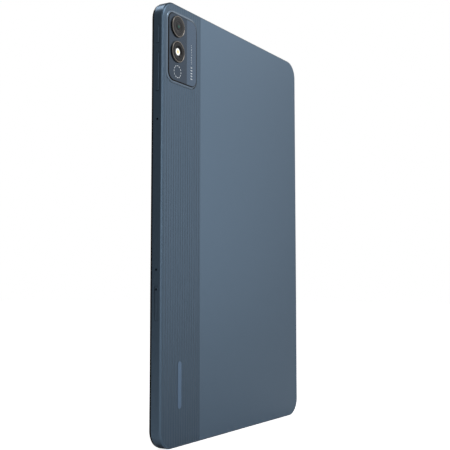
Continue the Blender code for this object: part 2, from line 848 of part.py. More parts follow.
def screw(name, x, z):
    """A pan-head screw with its shank, clamping a board to a boss. The head has a plain round recess."""
    head_under = BOARD[1] + SEAT_GAP
    body = cylinder(
        name,
        "screw_steel",
        1.9,
        (x, head_under, z),
        (x, head_under + 0.45, z),
        sides=16,
        radius_end=1.7,
    )
    shank = cylinder(
        f"{name}_shank",
        None,
        0.65,
        (x, BACK_WALL + 0.25, z),
        (x, head_under + 0.2, z),
        sides=12,
    )
    recess = cylinder(
        f"{name}_recess",
        None,
        0.6,
        (x, head_under + 0.25, z),
        (x, head_under + 1.0, z),
        sides=6,
    )
    join(body, shank)
    cut(body, recess)


def board(name, x, z, screw_name, places):
    """A circuit board with a clearance hole around each boss, and the screws on the bosses."""
    made = block(name, "board_green", x, BOARD, z)
    for index, (screw_x, screw_z) in enumerate(places):
        number = index + 1
        hole = cylinder(
            f"{screw_name}_clearance_{number}",
            None,
            BOSS_RADIUS + SLOT_GAP,
            (screw_x, BOARD[0] - 0.5, screw_z),
            (screw_x, BOARD[1] + 0.5, screw_z),
            sides=16,
        )
        cut(made, hole)
        screw(f"{screw_name}_{number}", screw_x, screw_z)
    return made


def electronics():
    """Boards, cans, batteries, loudspeakers, microphones, antennas and the flexes between them."""
    for name, finish, x, d, z, corner, along in INNER_BLOCKS:
        block(name, finish, x, d, z, corner=corner, along=along, segments=3)
    board("main_board", (-76.8, -40.0), (58.0, 186.0), "board_screw", BOARD_SCREWS)
    charger = board("socket_board", (-20.0, 20.0), (3.0, 22.0), "socket_board_screw", SOCKET_BOARD_SCREWS)
    cut(charger, block("socket_notch", None, (-4.8, 4.8), (0.5, 3.0), (1.0, 8.7)))
    lead = block("battery_lead", "flex_amber", (-41.2, -38.5), BOARD_FLEX, (178.0, 202.0))
    join(lead, block("battery_lead_turn", None, (-41.2, -30.5), BOARD_FLEX, (198.0, 202.0)))
    link = block("board_link_flex", "flex_amber", (-64.0, -50.0), BOARD_FLEX, (12.0, 64.0))
    join(link, block("board_link_turn", None, (-64.0, -15.0), BOARD_FLEX, (6.0, 13.0)))
    for label, z in zip(("upper", "lower"), MICROPHONE_Z):
        block(
            f"{label}_microphone",
            "can_steel",
            (INNER_LEFT + 0.1, INNER_LEFT + 1.1),
            (2.0, 4.1),
            (z - 1.75, z + 1.75),
        )


def usb_socket():
    """The reversible charging socket: a drawn steel shell and the contact tongue in its middle."""
    shell = block(
        "usb_shell",
        "can_steel",
        (-4.45, 4.45),
        (SOCKET_DEPTH - 1.6, SOCKET_DEPTH + 1.6),
        (0.6, 8.4),
        corner=1.55,
        along="Z",
        segments=6,
    )
    cut(
        shell,
        block(
            "usb_bore",
            None,
            (-4.15, 4.15),
            (SOCKET_DEPTH - 1.28, SOCKET_DEPTH + 1.28),
            (-1.0, 7.4),
            corner=1.25,
            along="Z",
            segments=6,
        ),
    )
    block(
        "usb_tongue",
        "black_plastic",
        (-3.3, 3.3),
        (SOCKET_DEPTH - 0.35, SOCKET_DEPTH + 0.35),
        (1.4, 7.3),
        corner=0.3,
        along="Z",
        segments=2,
    )


def main():
    clear_scene()
    new_collection("tablet")
    new_collection("cutters")
    rear_housing()
    ribbed_panel()
    camera_island()
    rear_camera()
    front_assembly()
    keys()
    card_reader()
    electronics()
    usb_socket()


main()
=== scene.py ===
"""Looks of a ten-inch tablet computer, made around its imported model.

The frame gives every size and place. Depths are measured forward from the plane of the back, so the
camera island stands at negative depths and the screen's face is the deepest. Metres throughout.
"""

import json
import math

import bmesh
import bpy
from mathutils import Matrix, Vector


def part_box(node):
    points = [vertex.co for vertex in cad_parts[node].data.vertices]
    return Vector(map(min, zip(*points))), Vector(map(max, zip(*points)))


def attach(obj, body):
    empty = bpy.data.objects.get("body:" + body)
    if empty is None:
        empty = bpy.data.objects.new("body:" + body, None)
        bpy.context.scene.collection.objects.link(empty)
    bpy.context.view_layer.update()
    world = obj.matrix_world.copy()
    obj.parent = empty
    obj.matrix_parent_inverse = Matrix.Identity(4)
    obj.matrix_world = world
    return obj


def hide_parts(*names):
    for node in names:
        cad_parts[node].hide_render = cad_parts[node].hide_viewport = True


bl_info = {
    "name": "Tablet Computer Maker",
    "version": (1, 0, 0),
    "blender": (4, 5, 0),
    "location": "View3D > Sidebar > Tablet",
    "description": "Makes the visible pieces of a tablet computer around its frame",
    "category": "Add Mesh",
}

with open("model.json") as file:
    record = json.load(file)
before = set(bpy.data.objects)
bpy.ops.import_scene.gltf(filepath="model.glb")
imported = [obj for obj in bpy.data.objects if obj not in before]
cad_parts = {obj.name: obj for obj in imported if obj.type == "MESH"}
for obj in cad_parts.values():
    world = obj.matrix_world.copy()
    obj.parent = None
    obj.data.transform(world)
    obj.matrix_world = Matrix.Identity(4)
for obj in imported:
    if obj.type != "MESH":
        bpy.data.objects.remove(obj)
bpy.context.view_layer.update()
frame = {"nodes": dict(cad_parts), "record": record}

MM = 0.001
TINY = 0.02 * MM
HOUSING_LOW, HOUSING_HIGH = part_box("rear_housing")
GLASS_LOW, GLASS_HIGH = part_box("cover_glass")
BACK = HOUSING_LOW.y
LEFT = HOUSING_LOW.x
WIDTH = HOUSING_HIGH.x - HOUSING_LOW.x
HEIGHT = HOUSING_HIGH.z - HOUSING_LOW.z
SIDE_Y = sum(corner.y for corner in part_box("card_tray")) / 2
PAST = 1.0 * MM  # how far a cutter runs past the face that it cuts
ROUND_STEPS = 72  # sides of a turned piece
SHARP_EDGE = math.radians(32)
HOLE_RADIUS = 0.6 * MM  # microphone, loudspeaker and ejector holes
CORNER_STEPS = 12  # steps round a corner of the ribbed cover
RIB_SAMPLES = 14  # points across one rib
RIB_ROUNDNESS = 3.0  # the higher, the narrower the grooves
UPRIGHT = (math.pi / 2, 0.0, 0.0)  # stands a flat shape up, facing back
FINISHES = {}  # the shared materials, made by make_finishes


def middle(node):
    """The centre of a node's box."""
    low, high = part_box(node)
    return (low + high) / 2


# ---------------------------------------------------------------------------
# Meshes
# ---------------------------------------------------------------------------


def on_back(centre):
    """Places an outline's points as X and Z about a centre, and its loft along Y."""
    return lambda u, v, w: Vector((centre.x + u, w, centre.z + v))


def on_side(centre):
    """Places an outline's points as Y and Z about a centre, and its loft along X."""
    return lambda u, v, w: Vector((w, centre.y + u, centre.z + v))


def on_end(centre):
    """Places an outline's points as X and Y about a centre, and its loft along Z."""
    return lambda u, v, w: Vector((centre.x + u, centre.y + v, w))


def round_rectangle(width, height, radius, steps):
    """Points of a rectangle with round corners about its middle."""
    points = []
    for quarter, (side_u, side_v) in enumerate(((1, 1), (-1, 1), (-1, -1), (1, -1))):
        for step in range(steps + 1):
            angle = math.pi / 2 * (quarter + step / steps)
            u = side_u * (width / 2 - radius) + radius * math.cos(angle)
            v = side_v * (height / 2 - radius) + radius * math.sin(angle)
            points.append((u, v))
    return points


def link_mesh(name, work):
    """A scene object from a finished bmesh, smooth but for its sharp edges."""
    bmesh.ops.recalc_face_normals(work, faces=work.faces)
    mesh = bpy.data.meshes.new(name)
    work.to_mesh(mesh)
    work.free()
    mesh.shade_smooth()
    mesh.set_sharp_from_angle(angle=SHARP_EDGE)
    made = bpy.data.objects.new(name, mesh)
    bpy.context.scene.collection.objects.link(made)
    return made


def skin(name, rings, closed=False):
    """A surface through rings of points. A ring of one point is a pole, an open end gets a cap, and a
    closed stack joins its last ring to its first."""
    work = bmesh.new()
    loops = [[work.verts.new(point) for point in ring] for ring in rings]
    pairs = list(zip(loops, loops[1:]))
    if closed:
        pairs.append((loops[-1], loops[0]))
    for first, second in pairs:
        count = max(len(first), len(second))
        for index in range(count):
            after = (index + 1) % count
            if len(first) == 1:
                work.faces.new((first[0], second[after], second[index]))
            elif len(second) == 1:
                work.faces.new((first[index], first[after], second[0]))
            else:
                work.faces.new((first[index], first[after], second[after], second[index]))
    if not closed:
        for end in (loops[0], loops[-1]):
            if len(end) > 2:
                work.faces.new(end)
    return link_mesh(name, work)


def loft(name, place, size, radius, profile, steps=10, closed=False):
    """A round-cornered rectangle carried along an axis. Each step of the profile gives how far the
    outline is drawn in and where along the axis it stands."""
    rings = []
    for inset, along in profile:
        corner = max(radius - inset, TINY)
        points = round_rectangle(size[0] - 2 * inset, size[1] - 2 * inset, corner, steps)
        rings.append([place(u, v, along) for u, v in points])
    return skin(name, rings, closed)


def turned(name, centre, profile, closed=False):
    """A profile of radius and Y, turned about a line along Y through the centre."""
    rings = []
    for radius, y in profile:
        if radius == 0:
            rings.append([Vector((centre.x, y, centre.z))])
            continue
        ring = []
        for step in range(ROUND_STEPS):
            angle = 2 * math.pi * step / ROUND_STEPS
            ring.append(Vector((centre.x + radius * math.cos(angle), y, centre.z + radius * math.sin(angle))))
        rings.append(ring)
    return skin(name, rings, closed)


def fillet(inset, face, radius, outwards, steps=6):
    """Profile points of a quarter round from a wall at an inset to the face that it ends level with.
    outwards is the sign of the axis that points out of that face."""
    points = []
    for step in range(steps + 1):
        angle = math.pi / 2 * step / steps
        drawn = inset + radius * (1 - math.cos(angle))
        points.append((drawn, face - outwards * radius * (1 - math.sin(angle))))
    return points


def bar(name, start, end, radius, steps=24):
    """A round bar between two points."""
    start, end = Vector(start), Vector(end)
    work = bmesh.new()
    length = (end - start).length
    bmesh.ops.create_cone(work, cap_ends=True, segments=steps, radius1=radius, radius2=radius, depth=length)
    turn = (end - start).to_track_quat("Z", "Y").to_matrix()
    bmesh.ops.rotate(work, cent=(0.0, 0.0, 0.0), matrix=turn, verts=work.verts)
    bmesh.ops.translate(work, vec=(start + end) / 2, verts=work.verts)
    return link_mesh(name, work)


def block(name, low, high, corner=0.0, steps=3):
    """A box between two corners, with all its edges rounded."""
    work = bmesh.new()
    bmesh.ops.create_cube(work, size=1.0)
    bmesh.ops.scale(work, vec=[high[i] - low[i] for i in range(3)], verts=work.verts)
    if corner:
        bmesh.ops.bevel(work, geom=work.edges[:], offset=corner, segments=steps, profile=0.5, affect="EDGES")
    bmesh.ops.translate(work, vec=[(high[i] + low[i]) / 2 for i in range(3)], verts=work.verts)
    return link_mesh(name, work)


def flatten(target):
    """Applies an object's modifiers, leaving a plain mesh."""
    graph = bpy.context.evaluated_depsgraph_get()
    graph.update()
    mesh = bpy.data.meshes.new_from_object(target.evaluated_get(graph))
    target.modifiers.clear()
    target.data = mesh
    mesh.name = target.name
    return target


def combine(target, tools, operation="DIFFERENCE"):
    """Cuts the tools from the target, or joins them to it, and removes them."""
    for tool in tools:
        step = target.modifiers.new(operation.lower(), "BOOLEAN")
        step.operation = operation
        step.object = tool
        step.solver = "EXACT"
    flatten(target)
    for tool in tools:
        bpy.data.objects.remove(tool)
    target.data.shade_smooth()
    target.data.set_sharp_from_angle(angle=SHARP_EDGE)
    return target


def settle(piece, body, slot, material, *nodes):
    """Gives a piece its finish and its body, and hides the nodes that it stands for. Its slot is not used."""
    piece.data.materials.clear()
    piece.data.materials.append(material)
    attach(piece, body)
    if nodes:
        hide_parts(*nodes)
    return piece


# ---------------------------------------------------------------------------
# Nodes
# ---------------------------------------------------------------------------


def add_node(tree, kind, inputs=None, **settings):
    """Adds a node with its settings. Each input gets a plain value or another node's output."""
    node = tree.nodes.new(kind)
    for name, value in settings.items():
        setattr(node, name, value)
    for socket, value in (inputs or {}).items():
        if isinstance(value, bpy.types.NodeSocket):
            tree.links.new(value, node.inputs[socket])
        else:
            node.inputs[socket].default_value = value
    return node


def math_node(tree, operation, *values):
    """A Math node's output. The values are outputs or plain numbers."""
    return add_node(tree, "ShaderNodeMath", dict(enumerate(values)), operation=operation).outputs["Value"]


def new_tree(name, sockets):
    """A geometry tree with the named inputs. Returns it and its input node's outputs."""
    tree = bpy.data.node_groups.new(name, "GeometryNodeTree")
    tree.interface.new_socket("Geometry", in_out="OUTPUT", socket_type="NodeSocketGeometry")
    for label, kind in sockets.items():
        tree.interface.new_socket(label, in_out="INPUT", socket_type=f"NodeSocket{kind}")
    return tree, add_node(tree, "NodeGroupInput").outputs


def end_tree(tree, given, geometry):
    """Closes a tree with Realize Instances and Set Material."""
    realized = add_node(tree, "GeometryNodeRealizeInstances", {"Geometry": geometry}).outputs["Geometry"]
    painted = add_node(tree, "GeometryNodeSetMaterial", {"Geometry": realized, "Material": given["Material"]})
    add_node(tree, "NodeGroupOutput", {"Geometry": painted.outputs["Geometry"]})


def run_tree(name, tree, values):
    """A plain mesh object made by a tree, whose inputs are set by their identifiers."""
    made = bpy.data.objects.new(name, bpy.data.meshes.new(name))
    bpy.context.scene.collection.objects.link(made)
    step = made.modifiers.new("make", "NODES")
    step.node_group = tree
    for item in tree.interface.items_tree:
        if item.in_out == "INPUT":
            step[item.identifier] = values[item.name]
    flatten(made)
    work = bmesh.new()
    work.from_mesh(made.data)
    bmesh.ops.recalc_face_normals(work, faces=work.faces)
    work.to_mesh(made.data)
    work.free()
    made.data.shade_smooth()
    made.data.set_sharp_from_angle(angle=SHARP_EDGE)
    return made


def row_tree():
    """Copies of one shape in a straight row."""
    sockets = {"Shape": "Object", "Count": "Int", "Start": "Vector", "Step": "Vector", "Material": "Material"}
    tree, given = new_tree("Row Of Shapes", sockets)
    spacing = {"Count": given["Count"], "Start Location": given["Start"], "Offset": given["Step"]}
    line = add_node(tree, "GeometryNodeMeshLine", spacing, mode="OFFSET")
    shape = add_node(tree, "GeometryNodeObjectInfo", {"Object": given["Shape"]})
    wanted = {"Points": line.outputs["Mesh"], "Instance": shape.outputs["Geometry"]}
    copies = add_node(tree, "GeometryNodeInstanceOnPoints", wanted)
    end_tree(tree, given, copies.outputs["Instances"])
    return tree


def ring_tree():
    """Copies of one shape round a circle in the XZ plane, each turned to face outwards."""
    sockets = {
        "Shape": "Object",
        "Count": "Int",
        "Centre": "Vector",
        "Radius": "Float",
        "Material": "Material",
    }
    tree, given = new_tree("Ring Of Shapes", sockets)
    size = {"Vertices": given["Count"], "Radius": given["Radius"]}
    circle = add_node(tree, "GeometryNodeMeshCircle", size).outputs["Mesh"]
    upright = add_node(tree, "GeometryNodeTransform", {"Geometry": circle, "Rotation": UPRIGHT})
    shape = add_node(tree, "GeometryNodeObjectInfo", {"Object": given["Shape"]})
    place = add_node(tree, "GeometryNodeInputPosition").outputs["Position"]
    face = add_node(tree, "FunctionNodeAlignEulerToVector", {"Vector": place}, axis="X", pivot_axis="Y")
    wanted = {
        "Points": upright.outputs["Geometry"],
        "Instance": shape.outputs["Geometry"],
        "Rotation": face.outputs["Rotation"],
    }
    copies = add_node(tree, "GeometryNodeInstanceOnPoints", wanted).outputs["Instances"]
    moved = add_node(tree, "GeometryNodeTransform", {"Geometry": copies, "Translation": given["Centre"]})
    end_tree(tree, given, moved.outputs["Geometry"])
    return tree


def ribbed_sheet_tree():
    """A closed slab whose rear face is worked into upright ribs with narrow rounded grooves."""
    sockets = {
        "Ribs": "Int",
        "Pitch": "Float",
        "Height": "Float",
        "Groove Depth": "Float",
        "Thickness": "Float",
        "Centre": "Vector",
        "Material": "Material",
    }
    tree, given = new_tree("Ribbed Sheet", sockets)
    across = math_node(tree, "MULTIPLY", given["Ribs"], given["Pitch"])
    columns = math_node(tree, "MULTIPLY_ADD", given["Ribs"], RIB_SAMPLES, 1)
    size = {"Size X": across, "Size Y": given["Height"], "Vertices X": columns, "Vertices Y": 2}
    grid = add_node(tree, "GeometryNodeMeshGrid", size)
    place = add_node(tree, "GeometryNodeInputPosition").outputs["Position"]
    split = add_node(tree, "ShaderNodeSeparateXYZ", {"Vector": place})
    from_left = math_node(tree, "ADD", split.outputs["X"], math_node(tree, "MULTIPLY", across, 0.5))
    phase = math_node(tree, "PINGPONG", math_node(tree, "DIVIDE", from_left, given["Pitch"]), 0.5)
    crest = math_node(tree, "MULTIPLY_ADD", phase, -2.0, 1.0)
    rounded = math_node(tree, "POWER", crest, RIB_ROUNDNESS)
    groove = math_node(tree, "MULTIPLY", rounded, given["Groove Depth"])
    shift = add_node(tree, "ShaderNodeCombineXYZ", {"Z": math_node(tree, "MULTIPLY", groove, -1.0)})
    sockets = {"Geometry": grid.outputs["Mesh"], "Offset": shift.outputs["Vector"]}
    face = add_node(tree, "GeometryNodeSetPosition", sockets).outputs["Geometry"]
    drop = math_node(tree, "MULTIPLY", given["Thickness"], -1.0)
    under = add_node(tree, "ShaderNodeCombineXYZ", {"Z": drop})
    sockets = {"Mesh": face, "Offset": under.outputs["Vector"], "Individual": False}
    slab = add_node(tree, "GeometryNodeExtrudeMesh", sockets).outputs["Mesh"]
    both = add_node(tree, "GeometryNodeJoinGeometry", {"Geometry": slab})
    tree.links.new(face, both.inputs["Geometry"])
    sockets = {"Geometry": both.outputs["Geometry"], "Distance": 0.001 * MM}
    welded = add_node(tree, "GeometryNodeMergeByDistance", sockets).outputs["Geometry"]
    sockets = {"Geometry": welded, "Rotation": UPRIGHT, "Translation": given["Centre"]}
    end_tree(tree, given, add_node(tree, "GeometryNodeTransform", sockets).outputs["Geometry"])
    return tree


# ---------------------------------------------------------------------------
# Finishes
# ---------------------------------------------------------------------------


def plain(name, colour, roughness, metallic=0.0, more=None):
    """A Principled material with its constants on the shader's own sockets."""
    made = bpy.data.materials.new(name)
    made.use_nodes = True
    shader = made.node_tree.nodes["Principled BSDF"]
    shader.inputs["Base Color"].default_value = (*colour, 1.0)
    shader.inputs["Roughness"].default_value = roughness
    shader.inputs["Metallic"].default_value = metallic
    for socket, value in (more or {}).items():
        shader.inputs[socket].default_value = value
    return made


def coordinates(material, stretch=(1.0, 1.0, 1.0), centre=(0.0, 0.0, 0.0)):
    """Object coordinates, moved to a centre and stretched."""
    source = add_node(material.node_tree, "ShaderNodeTexCoord").outputs["Object"]
    sockets = {"Vector": source, "Location": centre, "Scale": stretch}
    return add_node(material.node_tree, "ShaderNodeMapping", sockets, vector_type="TEXTURE").outputs["Vector"]


def noise(material, scale, detail=3.0, stretch=(1.0, 1.0, 1.0)):
    """A noise pattern's value, with features of about 1 / scale metres."""
    sockets = {"Vector": coordinates(material, stretch), "Scale": scale, "Detail": detail}
    return add_node(material.node_tree, "ShaderNodeTexNoise", sockets).outputs["Fac"]


def cells(material, scale, randomness=0.0, metric="EUCLIDEAN"):
    """How far a point lies from the nearest cell's middle, in cells of about 1 / scale metres."""
    sockets = {"Vector": coordinates(material), "Scale": scale, "Randomness": randomness}
    return add_node(material.node_tree, "ShaderNodeTexVoronoi", sockets, distance=metric).outputs["Distance"]


def ramp(material, value, stops):
    """Colours at positions along a value."""
    node = material.node_tree.nodes.new("ShaderNodeValToRGB")
    band = node.color_ramp
    while len(band.elements) < len(stops):
        band.elements.new(0.5)
    for element, (position, colour) in zip(band.elements, stops):
        element.position = position
        element.color = (*colour, 1.0)
    material.node_tree.links.new(value, node.inputs["Fac"])
    return node.outputs["Color"]


def span(material, value, low, high, low_out, high_out):
    """A value's range turned into another range."""
    sockets = {"Value": value, "From Min": low, "From Max": high, "To Min": low_out, "To Max": high_out}
    return add_node(material.node_tree, "ShaderNodeMapRange", sockets).outputs["Result"]


def mix(material, share, first, second):
    """Two colours mixed by a share."""
    sockets = {"Factor": share, "A": first, "B": second}
    return add_node(material.node_tree, "ShaderNodeMix", sockets, data_type="RGBA").outputs["Result"]


def feed(material, socket, output):
    """Links an output to one of the shader's sockets."""
    material.node_tree.links.new(output, material.node_tree.nodes["Principled BSDF"].inputs[socket])


def bump(material, height, strength, distance):
    """Bump from a height value; distance is the depth of the relief in metres."""
    sockets = {"Height": height, "Strength": strength, "Distance": distance}
    feed(material, "Normal", add_node(material.node_tree, "ShaderNodeBump", sockets).outputs["Normal"])


def scaled(colour, factor):
    """A colour made lighter or darker."""
    return tuple(channel * factor for channel in colour)


def speckled(name, colour, roughness, metallic, scale, spread, relief):
    """A finish with a fine grain: its colour, gloss and surface all vary a little together."""
    made = plain(name, colour, roughness, metallic)
    grain = noise(made, scale, 4.0)
    stops = ((0.3, scaled(colour, 1 - spread)), (0.7, scaled(colour, 1 + spread)))
    feed(made, "Base Color", ramp(made, grain, stops))
    feed(made, "Roughness", span(made, grain, 0.3, 0.7, roughness - 0.05, roughness + 0.05))
    bump(made, grain, 0.4, relief)
    return made


def distance_from(material, centre):
    """How far a point lies from a line along Y through a centre."""
    tree = material.node_tree
    sockets = {0: coordinates(material, centre=centre), 1: (1.0, 0.0, 1.0)}
    flat = add_node(tree, "ShaderNodeVectorMath", sockets, operation="MULTIPLY").outputs["Vector"]
    return add_node(tree, "ShaderNodeVectorMath", {0: flat}, operation="LENGTH").outputs["Value"]


def along_axis(material, axis, centre=(0.0, 0.0, 0.0)):
    """A point's place along one axis, from a centre."""
    sockets = {"Vector": coordinates(material, centre=centre)}
    return add_node(material.node_tree, "ShaderNodeSeparateXYZ", sockets).outputs[axis]


def anodised_metal(colour, roughness):
    """Bead-blasted, anodised aluminium."""
    return speckled("anodised_metal", colour, roughness, 1.0, 9000.0, 0.04, 0.005 * MM)


def ribbed_satin(colour, roughness):
    """The ribbed cover: the same finish, a little darker, drawn along the ribs."""
    made = plain("ribbed_satin", colour, roughness, 1.0)
    drawn = noise(made, 2500.0, 3.0, (1.0, 1.0, 40.0))
    feed(made, "Base Color", ramp(made, drawn, ((0.3, scaled(colour, 0.93)), (0.7, scaled(colour, 1.07)))))
    feed(made, "Roughness", span(made, drawn, 0.3, 0.7, roughness - 0.06, roughness + 0.06))
    bump(made, drawn, 0.3, 0.008 * MM)
    return made


def cut_metal(name, colour, roughness):
    """Metal with a diamond-cut or polished face."""
    made = plain(name, colour, roughness, 1.0)
    drawn = noise(made, 6000.0, 2.0, (1.0, 1.0, 12.0))
    feed(made, "Roughness", span(made, drawn, 0.3, 0.7, roughness * 0.8, roughness * 1.25))
    feed(made, "Base Color", ramp(made, drawn, ((0.25, scaled(colour, 0.92)), (0.75, scaled(colour, 1.05)))))
    return made


def island_glass(dark, light, split_x, roughness):
    """The island's cover: dark for most of its width and lighter beyond the split."""
    made = plain("island_glass", dark, roughness, 1.0, {"Coat Weight": 0.04, "Coat Roughness": 0.1})
    share = span(made, along_axis(made, "X"), split_x - 0.05 * MM, split_x + 0.05 * MM, 0.0, 1.0)
    flake = noise(made, 14000.0, 2.0)
    dark_flakes = ramp(made, flake, ((0.35, scaled(dark, 0.9)), (0.65, scaled(dark, 1.12))))
    light_flakes = ramp(made, flake, ((0.35, scaled(light, 0.92)), (0.65, scaled(light, 1.1))))
    feed(made, "Base Color", mix(made, share, dark_flakes, light_flakes))
    return made


def lens_black(name, centre, colours):
    """Black coated glass, with rings of slightly different black about its axis."""
    made = plain(name, (0.01, 0.01, 0.012), 0.12, 0.0, {"Specular IOR Level": 0.12})
    radius = span(made, distance_from(made, centre), 0.0, 5.5 * MM, 0.0, 1.0)
    feed(made, "Base Color", ramp(made, radius, colours))
    feed(made, "Roughness", span(made, noise(made, 1500.0), 0.3, 0.7, 0.05, 0.1))
    return made


def flash_diffuser(centre):
    """A milky lens with the warm lamp showing through its middle. Its colours are also given out as a faint
    glow, which is painted light.
    """
    # The emission is painted light: the lens glows with its own colours.
    more = {"Coat Weight": 0.2, "Emission Strength": 0.55}
    made = plain("flash_diffuser", (0.9, 0.9, 0.88), 0.22, 0.0, more)
    radius = span(made, distance_from(made, centre), 0.0, 2.4 * MM, 0.0, 1.0)
    stops = (
        (0.0, (0.82, 0.48, 0.2)),
        (0.38, (0.86, 0.6, 0.34)),
        (0.55, (0.97, 0.95, 0.9)),
        (0.74, (0.85, 0.87, 0.88)),
        (0.82, (0.10, 0.10, 0.10)),
    )
    tint = ramp(made, radius, stops)
    feed(made, "Base Color", tint)
    feed(made, "Emission Color", tint)
    bump(made, noise(made, 5000.0), 0.2, 0.01 * MM)
    return made


def screen_glass(centre, size, border, camera):
    """Black cover glass over a display that is a shade lighter than the print round it, with the front
    camera's small window in the print."""
    made = plain("screen_glass", (0.006, 0.006, 0.007), 0.04, 0.0, {"Specular IOR Level": 0.15})
    shares = []
    for axis, half in (("X", size[0] / 2 - border), ("Z", size[1] / 2 - border)):
        away = math_node(made.node_tree, "ABSOLUTE", along_axis(made, axis, centre))
        shares.append(span(made, away, half - 0.05 * MM, half + 0.05 * MM, 1.0, 0.0))
    inside = math_node(made.node_tree, "MULTIPLY", *shares)
    border_black = (0.004, 0.004, 0.005)
    display = ramp(made, inside, ((0.0, border_black), (1.0, (0.014, 0.015, 0.018))))
    stops = (
        (0.0, (0.02, 0.03, 0.07)),
        (0.28, (0.008, 0.01, 0.02)),
        (0.45, (0.05, 0.05, 0.055)),
        (0.5, border_black),
    )
    lens = ramp(made, span(made, distance_from(made, camera), 0.0, 4.0 * MM, 0.0, 1.0), stops)
    near = span(made, distance_from(made, camera), 1.95 * MM, 2.05 * MM, 1.0, 0.0)
    feed(made, "Base Color", mix(made, near, display, lens))
    feed(made, "Roughness", span(made, noise(made, 60.0), 0.3, 0.7, 0.03, 0.06))
    return made


def moulded_plastic(name, colour, roughness):
    """Moulded plastic with a fine spark-eroded grain."""
    return speckled(name, colour, roughness, 0.0, 5000.0, 0.12, 0.01 * MM)


def circuit_board():
    """Green solder mask over a maze of tracks."""
    made = plain("circuit_board", (0.015, 0.10, 0.05), 0.35, 0.0, {"Coat Weight": 0.4})
    tracks = cells(made, 900.0, 1.0, "MANHATTAN")
    stops = (
        (0.0, (0.02, 0.15, 0.075)),
        (0.45, (0.012, 0.09, 0.045)),
        (0.5, (0.03, 0.17, 0.08)),
        (0.6, (0.012, 0.085, 0.04)),
    )
    feed(made, "Base Color", ramp(made, tracks, stops))
    bump(made, tracks, 0.3, 0.02 * MM)
    return made


def striped_film(name, dark, light, scale):
    """Thin film with straight parallel conductors in it."""
    made = plain(name, dark, 0.32, 0.0, {"Coat Weight": 0.5})
    sockets = {"Vector": coordinates(made), "Scale": scale, "Distortion": 0.0}
    lines = add_node(made.node_tree, "ShaderNodeTexWave", sockets, bands_direction="X").outputs["Fac"]
    feed(made, "Base Color", ramp(made, lines, ((0.4, dark), (0.6, light))))
    bump(made, lines, 0.3, 0.01 * MM)
    return made


def dotted_film():
    """The light guide's white film, with its grid of printed dots."""
    made = plain("dotted_film", (0.8, 0.81, 0.83), 0.35)
    stops = ((0.25, (0.95, 0.95, 0.95)), (0.35, (0.7, 0.72, 0.75)))
    feed(made, "Base Color", ramp(made, cells(made, 1200.0), stops))
    return made


def woven_mesh():
    """Black dust mesh."""
    made = plain("woven_mesh", (0.012, 0.012, 0.013), 0.7)
    holes = cells(made, 6000.0)
    feed(made, "Base Color", ramp(made, holes, ((0.2, (0.002, 0.002, 0.002)), (0.4, (0.03, 0.03, 0.032)))))
    bump(made, holes, 0.6, 0.03 * MM)
    return made


def printed_ink(colour):
    """Pale ink, slightly mottled."""
    return speckled("printed_ink", colour, 0.45, 0.0, 6000.0, 0.06, 0.003 * MM)


# ---------------------------------------------------------------------------
# Settings
# ---------------------------------------------------------------------------


def size_property(name, description, default):
    """A length that a user may change."""
    return bpy.props.FloatProperty(
        name=name,
        description=description,
        default=default,
        unit="LENGTH",
        precision=5,
    )


def colour_property(name, description, default):
    """A colour that a user may change."""
    return bpy.props.FloatVectorProperty(
        name=name,
        description=description,
        default=default,
        subtype="COLOR",
        size=3,
        min=0.0,
        max=1.0,
    )


class HousingSettings(bpy.types.PropertyGroup):
    """The metal housing's finish and sizes"""

    colour: colour_property("Metal colour", "Colour of the anodised metal", (0.114, 0.170, 0.236))
    gloss: bpy.props.FloatProperty(name="Roughness", description="How matte the metal is", default=0.36)
    corner: size_property("Corner radius", "Radius of the body's four corners", 10.5 * MM)
    edge: size_property("Edge bevel", "Bevel between the sides and the back", 0.85 * MM)
    wall: size_property("Side wall", "Thickness of the sides", 1.6 * MM)
    floor: size_property("Back wall", "Thickness of the back", 1.0 * MM)


class RibSettings(bpy.types.PropertyGroup):
    """The ribbed cover's colour and ribs"""

    colour: colour_property("Cover colour", "Colour of the ribbed cover", (0.082, 0.122, 0.170))
    pitch: size_property("Rib pitch", "Distance from rib to rib", 2.27 * MM)
    depth: size_property("Groove depth", "Depth of the grooves between ribs", 0.1 * MM)
    gap: size_property("Seam", "Gap between the cover and the metal round it", 0.05 * MM)


class IslandSettings(bpy.types.PropertyGroup):
    """The camera island's colours and widths"""

    dark: colour_property("Dark glass", "Colour of the wide part of the island", (0.036, 0.052, 0.075))
    light: colour_property("Light strip", "Colour of the narrow strip", (0.067, 0.100, 0.147))
    strip: size_property("Dark width", "Distance from the body's side to the lighter strip", 22.0 * MM)
    # Width of the black band round the island's cover, a painted shade for the gap between the cover and the
    # rim.
    border: size_property("Shade band width", "Width of the black seal round the cover", 0.3 * MM)
    rim: colour_property("Rim colour", "Colour of the cut rim", (0.118, 0.158, 0.207))
    ring: colour_property("Lens ring colour", "Colour of the lens rings", (0.20, 0.185, 0.17))


class KeySettings(bpy.types.PropertyGroup):
    """Sizes of the keys' caps and of the tray's face"""

    width: size_property("Key width", "Width of the keys' caps", 1.8 * MM)
    power: size_property("Power length", "Length of the power button's cap", 9.6 * MM)
    volume: size_property("Volume length", "Length of the volume rocker's cap", 21.0 * MM)
    tray_width: size_property("Tray width", "Width of the card tray's face", 1.9 * MM)
    tray: size_property("Tray length", "Length of the card tray's face", 18.0 * MM)
    gap: size_property("Key gap", "Gap round keys and tray", 0.15 * MM)


class ScreenSettings(bpy.types.PropertyGroup):
    """The cover glass's edge and its black border"""

    corner: size_property("Glass corner", "Radius of the cover glass's corners", 10.2 * MM)
    edge: size_property("Glass edge", "Rounding of the cover glass's edge", 0.15 * MM)
    border: size_property("Black border", "Width of the print round the display", 9.9 * MM)


